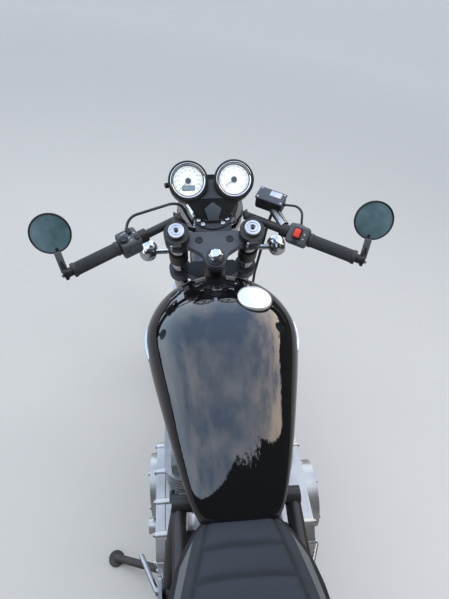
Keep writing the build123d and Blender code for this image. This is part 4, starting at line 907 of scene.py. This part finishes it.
# Levels from below upward as (middle forward, half depth, half width, up the fork)
skirt_levels = [(0.117, 0.019, 0.038, 0.6885), (0.125, 0.0215, 0.046, 0.6935), (0.138, 0.024, 0.055, 0.702),
                (0.151, 0.026, 0.0655, 0.712), (0.162, 0.0275, 0.077, 0.7215), (0.17, 0.028, 0.089, 0.7285)]
bpy.ops.mesh.primitive_circle_add(vertices=skirt_sides, radius=1, fill_type="NGON")
skirt = bpy.context.object
forward, deep, wide, level = skirt_levels[0]
for number, corner in enumerate(skirt.data.vertices):
    turn = 2 * math.pi * number / skirt_sides
    corner.co = (forward + deep * fuller(math.cos(turn), 0.6), wide * fuller(math.sin(turn), 0.6), level)
edit_all()
for (forward, deep, wide, level), (ahead_by, deeper, wider, higher) in zip(skirt_levels, skirt_levels[1:]):
    draw_on((ahead_by - forward, 0, higher - level), (deeper / deep, wider / wide, 1), (ahead_by, 0, higher))
face_out()
eased(skirt, 0.002, 3)
skirt.matrix_world = on_fork(0, 0, 0)
settle(skirt, "clock_skirt", "fork", cup_black)
# The pad's blue-grey is a painted sheen of the sky on the bracket's dark smooth face.
pad_sky_sheen = weathered("pad_sky_sheen", (0.06, 0.072, 0.092), (0.085, 0.1, 0.125), 0.4, 0.52, 1300, 0.00006)
pad_corners = [(0.043, 0, 0), (0.026, 0.0215, 0), (-0.004, 0.0125, 0), (-0.004, -0.0125, 0),
               (0.026, -0.0215, 0)]
pad = cut_plate(pad_corners, (0, 0, 0.0042), edge=0.001, segments=3)
pad.matrix_world = on_fork(0.1035, 0, 0.6935) @ Matrix.Rotation(-clock_tilt, 4, "Y")
settle(pad, "bracket_pad", "fork", pad_sky_sheen)
bracket_holes = ((0.1032, 0.0374), (0.0909, 0.0266), (0.1041, -0.036), (0.0927, -0.0244))
screws = [socket_bolt(0.0052, 0.0042, on_fork(forward, side, 0.6871)) for forward, side in bracket_holes]
settle(joined(screws), "bracket_screws", "fork", cap_alloy)

# Lamps
# A chromed headlamp shell with a fluted glass, and chromed bullet indicators on rubber-mounted stalks
# with amber lenses. The round tail lamp has a red moulded lens.
dressed("headlamp_bowl", "fork", chrome)
lamp_glass = Finish("lamp_glass", Transmission_Weight=0.6, IOR=1.5)
flutes = lamp_glass.noise(60)
lamp_glass.feed(Base_Color=lamp_glass.blend(flutes, (0.8, 0.84, 0.86), (0.95, 0.97, 0.98)),
                Roughness=lamp_glass.spread(flutes, 0.02, 0.1))
dressed("headlamp_lens", "fork", lamp_glass)
lamp_amber = weathered("lamp_amber", (0.75, 0.24, 0.02), (0.9, 0.34, 0.05), 0.06, 0.16, 500, 0.00005,
                       Coat_Weight=1)
lamp_red = weathered("lamp_red", (0.45, 0.01, 0.01), (0.6, 0.02, 0.02), 0.08, 0.2, 500, 0.00005,
                     Coat_Weight=1)
lens_start = on_fork(0.068, 0, 0.592).translation.x + 0.0195
front_lamps = dressed("front_indicators", "fork", chrome)
repaint(front_lamps, lamp_amber, lambda place: place.x > lens_start and abs(place.y) > 0.14)
tail_lamps = dressed("rear_lamps", "frame", frame_enamel)
repaint(tail_lamps, lamp_red, lambda place: place.x < -0.212 and abs(place.y) < 0.08)
repaint(tail_lamps, lamp_amber, lambda place: place.x < -0.164 and abs(place.y) > 0.13)

# Fuel tank
# Pressed steel halves welded along the lower edge, over the backbone on rubber pads. The paint, on the
# mudguards too, is deep gloss black under clear lacquer. A chromed strip is stuck on each side.
tank_base = 0.765
tank_shoulder = 0.5
# Stations from front to back as (x, half width, height of the top over the base, drop of the lower edge)
tank_stations = [
    (1.1365, 0.048, 0.068, 0.006), (1.128, 0.074, 0.08, 0.014), (1.105, 0.106, 0.096, 0.022),
    (1.07, 0.136, 0.112, 0.028), (1.03, 0.156, 0.124, 0.031), (0.98, 0.171, 0.134, 0.032),
    (0.93, 0.1755, 0.14, 0.032), (0.87, 0.166, 0.1405, 0.031), (0.8, 0.1505, 0.136, 0.028),
    (0.72, 0.1305, 0.125, 0.016), (0.65, 0.1125, 0.107, 0.0), (0.585, 0.0935, 0.08, 0.0),
    (0.552, 0.081, 0.06, 0.0), (0.536, 0.0705, 0.047, 0.0), (0.5265, 0.056, 0.036, 0.0),
]
tank_sides = 44


def tank_edge(turn):
    """A place on a section whose half width and height are both one, from a turn about its middle."""
    across, up = math.sin(turn), -math.cos(turn)
    if up > 0:
        return fuller(across, 0.88), tank_shoulder + (1 - tank_shoulder) * up ** 0.94
    tall = abs(up) ** 0.62
    return fuller(across, 0.62) * (1 - 0.26 * tall ** 2), tank_shoulder * (1 - tall)


def drawn_through(stations, sides, edge):
    """A closed skin through (x, half width, height, base): one section, extruded and scaled along X."""
    x, half, tall, base = stations[0]
    bpy.ops.mesh.primitive_circle_add(vertices=sides, radius=1, fill_type="NGON")
    skin = bpy.context.object
    for number, corner in enumerate(skin.data.vertices):
        wide, up = edge(2 * math.pi * number / sides)
        corner.co = (x, half * wide, base + tall * up)
    edit_all()
    for (x, half, tall, base), (next_x, next_half, next_tall, next_base) in zip(stations, stations[1:]):
        draw_on((next_x - x, 0, next_base - base), (1, next_half / half, next_tall / tall),
                (next_x, 0, next_base))
    face_out()
    return skin


def smoothed(piece, levels):
    """Subdivides a piece and shades it smooth."""
    shaped(piece, "SUBSURF", levels=levels, render_levels=levels)
    bpy.ops.object.shade_smooth()


tank = drawn_through([(x, half, top + drop, tank_base - drop) for x, half, top, drop in tank_stations],
                     tank_sides, tank_edge)
smoothed(tank, 2)
paint_black = Finish("paint_black", Coat_Weight=1.0, Coat_Roughness=0.02, Specular_IOR_Level=0.5)
depth = paint_black.noise(5)
paint_black.feed(Base_Color=paint_black.blend(depth, (0.0025, 0.0025, 0.003), (0.005, 0.005, 0.006)),
                 Roughness=paint_black.spread(depth, 0.03, 0.07))
paint_black.relief(paint_black.noise(260, detail=1), 0.00002)
strip_middle, strip_long, strip_up, strip_wide = 0.918, 0.094, tank_base + 0.061, 0.009
bpy.context.view_layer.update()
strips = []
for side in (1, -1):
    bpy.ops.mesh.primitive_grid_add(x_subdivisions=40, y_subdivisions=3, size=1)
    strip = bpy.context.object
    for corner in strip.data.vertices:
        along, across = corner.co.x, corner.co.y
        start = Vector((strip_middle + along * strip_long, side * 0.3, strip_up + across * strip_wide))
        hit, spot, normal, index = tank.ray_cast(start, Vector((0, -side, 0)))
        corner.co = spot + normal * (0.0012 + 0.0028 * (1 - (2 * along) ** 2))
    edit_all()
    bpy.ops.mesh.extrude_region_move(TRANSFORM_OT_translate={"value": (0, -side * 0.008, 0)})
    face_out()
    strips.append(eased(strip, 0.0005))
settle(tank, "tank_shell", "frame", paint_black, "fuel_tank")
settle(joined(strips), "tank_strips", "frame", nut_chrome)
dressed("front_mudguard", "fork", paint_black)
dressed("rear_mudguard", "frame", paint_black)

# Filler cap
# A spun alloy lid with a rolled lip, polished bright, on a black painted neck in the tank's right side.
# The lid presses a seal down on the neck with a quarter turn.
lid_alloy = weathered("lid_alloy", (0.8, 0.8, 0.79), (0.93, 0.93, 0.92), 0.2, 0.3, 1500, 0.00003, patch=16,
                      Metallic=0.7)
neck_black = weathered("neck_black", (0.006, 0.006, 0.007), (0.015, 0.015, 0.016), 0.15, 0.3, 800, 0.00005)
cap_place = facing((0.973, -0.073, 0.87), (0.02, -0.16, 1))
lid = turned([(0.037, 0.0242), (0.0395, 0.026), (0.0405, 0.0285), (0.0398, 0.0315), (0.0375, 0.0338),
              (0.034, 0.0346), (0.02, 0.0352)], cap_place, sides=96, crisp=60, dip=0.0002, crown=0.0003)
settle(lid, "filler_lid", "frame", lid_alloy, "fuel_cap")
neck = turned([(0.036, 0.0), (0.0362, 0.021), (0.0345, 0.0238)], cap_place, sides=72, crown=0.0001)
settle(neck, "filler_neck", "frame", neck_black)

# Saddle
# Foam under a woven centre panel and smooth side strips, sewn together and across in channels, on a
# moulded base. The padding swells between its seams in a cloth simulation.
saddle_sides = 40
# Stations from front to back as (x, half width, height, base)
saddle_stations = [
    (0.545, 0.056, 0.040, 0.753), (0.54, 0.07, 0.048, 0.75), (0.52, 0.089, 0.056, 0.747),
    (0.47, 0.118, 0.061, 0.745), (0.4, 0.134, 0.057, 0.745), (0.3, 0.139, 0.049, 0.745),
    (0.2, 0.135, 0.044, 0.747), (0.11, 0.128, 0.046, 0.752), (0.04, 0.12, 0.071, 0.76),
    (-0.02, 0.115, 0.099, 0.768), (-0.09, 0.105, 0.095, 0.78), (-0.15, 0.088, 0.071, 0.79),
    (-0.184, 0.063, 0.045, 0.797), (-0.189, 0.043, 0.03, 0.8),
]
panel_front = 0.531
panel_back = -0.12
tail_rise = 0.05
channels = [0.488 - 0.046 * number for number in range(11)]
channel_bow = 0.004
seam_half = 0.009
seam_depth = 0.0052
swell_limit = 0.006


def saddle_edge(turn):
    """A place on the saddle's section: flat below, full at the sides and low on top."""
    across, up = math.sin(turn), -math.cos(turn)
    if up > 0:
        return fuller(across, 0.62), 0.4 + 0.6 * up ** 0.8
    return fuller(across, 0.3) * (1 - 0.05 * abs(up)), 0.4 - 0.4 * abs(up) ** 0.5


def panel_half(x):
    """Half the width of the centre panel at a place along the saddle."""
    if x > 0.4:
        return 0.058 + 0.27 * (panel_front - x)
    return 0.0934 - 0.03 * max(0.0, tail_rise - x) / 0.2


def bowed(row, y):
    """A channel's place along the saddle, bowed forward in the middle."""
    return row + channel_bow * (1 - (y / 0.08) ** 2)


def seam_distance(x, y):
    """How far a place on top of the saddle lies from its nearest seam."""
    side_seam = abs(abs(y) - panel_half(x)) if panel_back < x < panel_front + 0.004 else 1.0
    across = min(abs(x - bowed(row, y)) for row in channels) if abs(y) < panel_half(x) else 1.0
    return min(side_seam, across)


def edge_inset(x, y):
    """How far a place lies inside the saddle's top edge, or one where the edge isn't sewn."""
    inside = 1.0
    for (ahead_x, ahead_half, _, _), (rear_x, rear_half, _, _) in zip(saddle_stations, saddle_stations[1:]):
        if -0.13 < x and rear_x <= x <= ahead_x:
            half = ahead_half + (rear_half - ahead_half) * (ahead_x - x) / (ahead_x - rear_x)
            inside = half - 0.0135 - abs(y)
    return inside


saddle = drawn_through(saddle_stations, saddle_sides, saddle_edge)
smoothed(saddle, 1)
shaped(saddle, "REMESH", mode="VOXEL", voxel_size=0.0052)
held = saddle.vertex_groups.new(name="sewn")
for corner in saddle.data.vertices:
    x, y, z = corner.co
    gap = seam_distance(x, y)
    upper = corner.normal.z > 0.35
    if upper and gap < seam_half:
        corner.co.z -= seam_depth * (1 - gap / seam_half) ** 2
    if upper and gap < 0.0032 or corner.normal.z < -0.3 or z < 0.755:
        held.add([corner.index], 1.0, "REPLACE")
sewn = [corner.co.copy() for corner in saddle.data.vertices]
swell = saddle.modifiers.new("swell", "CLOTH")
foam = {"quality": 5, "mass": 0.4, "tension_stiffness": 12, "compression_stiffness": 12,
        "bending_stiffness": 2, "use_pressure": True, "uniform_pressure_force": 4,
        "vertex_group_mass": "sewn"}
for setting, value in foam.items():
    setattr(swell.settings, setting, value)
swell.settings.effector_weights.gravity = 0
swell.point_cache.frame_end = 20
for frame_number in range(1, 17):
    bpy.context.scene.frame_set(frame_number)
alone(saddle)
bpy.ops.object.modifier_apply(modifier="swell")
for corner, start in zip(saddle.data.vertices, sewn):
    swollen = corner.co - start
    if swollen.length > swell_limit:
        corner.co = start + swollen.normalized() * swell_limit
bpy.context.scene.frame_set(1)
smoothed(saddle, 1)
for name in ("beyond_panel", "over_edge", "seam_shade"):
    saddle.data.attributes.new(name, "FLOAT", "POINT")
for number, corner in enumerate(saddle.data.vertices):
    x, y, z = corner.co
    over_base = z - 0.764 - max(0.0, tail_rise - x) * 0.16
    marks = {"beyond_panel": abs(y) - panel_half(x) if x > panel_back else 0.01,
             "over_edge": min(over_base, edge_inset(x, y)),
             "seam_shade": max(0.0, 1 - seam_distance(x, y) / 0.006) if z > 0.77 else 0.0}
    for name, value in marks.items():
        saddle.data.attributes[name].data[number].value = value
saddle_cloth = Finish("saddle_cloth")
beyond = saddle_cloth.node("Attribute", attribute_name="beyond_panel", output="Fac")
over = saddle_cloth.node("Attribute", attribute_name="over_edge", output="Fac")
near = saddle_cloth.node("Attribute", attribute_name="seam_shade", output="Fac")
threads_round = 2100
warp, weft = saddle_cloth.axes(saddle_cloth.place)[:2]
weave = saddle_cloth.math("SINE", warp * threads_round) * saddle_cloth.math("SINE", weft * threads_round)
fluff = saddle_cloth.noise(700, detail=2)
worn = saddle_cloth.noise(8)
nap = saddle_cloth.spread(weave * 0.5 + fluff + worn * 0.5, 0, 1, 0.3, 1.2)
woven = saddle_cloth.blend(nap, (0.009, 0.012, 0.018), (0.033, 0.04, 0.054))
smooth = saddle_cloth.blend(worn, (0.012, 0.014, 0.019), (0.024, 0.027, 0.034))
# The side walls are a paler grey than the strips: a painted sheen, for light caught on the vinyl as it turns
# down.
wall_sheen = saddle_cloth.blend(worn, (0.075, 0.082, 0.09), (0.13, 0.138, 0.15))
tone = saddle_cloth.blend(beyond > 0.018, saddle_cloth.blend(beyond > 0, woven, smooth), wall_sheen)
# Near the seams the cloth is darkened almost to black: painted shade in the sewn channels.
tone = saddle_cloth.blend(near * 0.8, tone, (0.004, 0.005, 0.006))
tone = saddle_cloth.blend(over < 0, tone, (0.009, 0.009, 0.01))
saddle_cloth.feed(Base_Color=tone, Roughness=saddle_cloth.spread(fluff, 0.5, 0.74))
saddle_cloth.relief((weave * (beyond < 0) + fluff) * 0.6, 0.0004)
gauge = added("gauge", saddle.data.copy())
settle(saddle, "saddle_pad", "frame", saddle_cloth, "saddle")
bpy.context.view_layer.update()
stitch_step = 0.0056
stitch_places = []


def stitched(x, y, heading):
    """Lays one stitch on the saddle's top, if the top is there."""
    hit, spot, normal, index = gauge.ray_cast(Vector((x, y, 1.0)), Vector((0, 0, -1)))
    if hit and normal.z > 0.4:
        stitch_places.append(facing(spot, normal, heading))


for row in channels:
    reach = panel_half(row) - 0.004
    count = int(2 * reach / stitch_step)
    for number in range(count + 1):
        y = -reach + 2 * reach * number / count
        stitched(bowed(row, y), y, (-0.05 * y, 1, 0))
for side in (1, -1):
    for number in range(108):
        x = panel_front - stitch_step * number
        stitched(x, side * (panel_half(x) + 0.0022), (1, 0, 0))
bpy.data.objects.remove(gauge)
stitch = block((0.0036, 0.0009, 0.0006), Matrix(), 0.0002)
thread = weathered("thread", (0.012, 0.013, 0.016), (0.03, 0.032, 0.038), 0.5, 0.7, 900, 0.00003)
settle(repeated(stitch, stitch_places), "saddle_stitches", "frame", thread)

# Camera
# The photograph's own camera, held over the saddle and looking forward and down at the bars. Its
# place and its axes are given on the upright machine, and lean with it.
eye = Vector((0.22116, 0.06144, 1.59874))
right = Vector((-0.08483, -0.99636, 0.00894))
upward = Vector((0.67733, -0.05108, 0.7339))
ahead = Vector((0.73077, -0.06831, -0.6792))
lens = bpy.data.cameras.new("view")
lens.lens = 27.44
lens.sensor_width = 36
lens.clip_start = 0.02
camera = added("view", lens)
aim = Matrix((right, upward, -ahead)).transposed().to_4x4()
aim.translation = eye
camera.matrix_world = parked @ aim
bpy.context.scene.camera = camera

# Floor
# A matt floor, pale to the eye and paler far off. Polished pieces see it darker, as they would a
# road.
bpy.ops.mesh.primitive_plane_add(size=60, location=(0, 0, 0))
floor = bpy.context.object
floor.name = "floor"
floor_paint = Finish("floor_paint")
mottle = floor_paint.noise(3)
reach = floor_paint.node("VectorMath", {0: floor_paint.place}, operation="LENGTH", output="Value")
pale = floor_paint.blend(mottle, (0.6, 0.6, 0.595), (0.64, 0.64, 0.635))
pale = floor_paint.blend(floor_paint.spread(reach, 0, 1, 1.2, 7), pale, (0.86, 0.865, 0.87))
glossy = floor_paint.node("LightPath", output="Is Glossy Ray")
floor_paint.feed(Base_Color=floor_paint.blend(glossy, pale, (0.3, 0.285, 0.28)),
                 Roughness=floor_paint.spread(mottle, 0.75, 0.9))
floor.data.materials.append(floor_paint.material)


# Light
# Two large soft lamps, over and beside the machine, that polished pieces don't see. They see an
# evening sky: blue-grey overhead, cream low on the right, over a dark tree line.
def softbox(name, place, size, watts, tone):
    """A square soft lamp aimed at the middle of the machine."""
    light = bpy.data.lights.new(name, "AREA")
    light.shape = "RECTANGLE"
    light.size = light.size_y = size
    light.energy = watts
    light.color = tone
    box = added(name, light)
    box.location = place
    box.rotation_euler = (Vector((0, 0, 0.6)) - Vector(place)).to_track_quat("-Z", "Y").to_euler()
    box.visible_glossy = False


softbox("softbox_over", (0.5, 0.5, 3.2), 2.4, 60, (0.95, 0.98, 1.0))
softbox("softbox_side", (-1.0, -3.0, 1.8), 1.6, 30, (1.0, 0.97, 0.92))


class Sky(Finish):
    """The surroundings, built from nodes in the same way."""

    def __init__(self, name):
        self.world = bpy.data.worlds.new(name)
        self.world.use_nodes = True
        self.tree = self.world.node_tree
        self.place = self.node("TexCoord", output="Generated")


sky = Sky("studio")
bearing, sideways, height = sky.axes(sky.place)
level = sky.math("SQRT", bearing * bearing + sideways * sideways)
cloud = sky.noise(2.2, detail=6, rough=0.62)
dome = sky.node("ValToRGB", {"Fac": height}, stops=[
    (0.0, (1.5, 1.7, 1.95)), (0.3, (1.35, 1.75, 2.2)), (0.62, (0.62, 0.9, 1.4)), (1.0, (0.75, 1.0, 1.45))])
dome = sky.blend(sky.spread(cloud, 0, 0.8, 0.42, 0.7), dome, (2.3, 2.3, 2.45))
warm = sky.spread(0 - sideways, 0, 1, 0.12, 0.6) * sky.spread(cloud, 0.15, 1, 0.4, 0.62)
dome = sky.blend(warm, dome, (3.6, 3.0, 2.5))
leaves = sky.noise(24, detail=5, rough=0.72)
behind = sky.spread((0 - bearing * 0.9 - sideways * 0.42) / level, 0.05, 0.95, -0.15, 0.72)
beside = sky.spread((0 - sideways) / level, 0.05, 0.56, 0.3, 0.85)
line = sky.math("MAXIMUM", behind, beside) + (leaves - 0.5) * 0.2
trees = sky.spread(line - height, 0, 1, -0.006, 0.006)
seen = sky.blend(trees, dome, (0.05, 0.06, 0.055))
lit = sky.node("LightPath", output="Is Glossy Ray")
even_room = (0.75, 0.8, 0.88)
shade = sky.node("Background", {"Color": sky.blend(lit, even_room, seen),
                                "Strength": sky.spread(lit, 0.78, 1.0, 0, 1)})
sky.tree.links.new(shade.socket, sky.tree.nodes["World Output"].inputs["Surface"])
bpy.context.scene.world = sky.world
bpy.context.scene.view_settings.view_transform = "Standard"
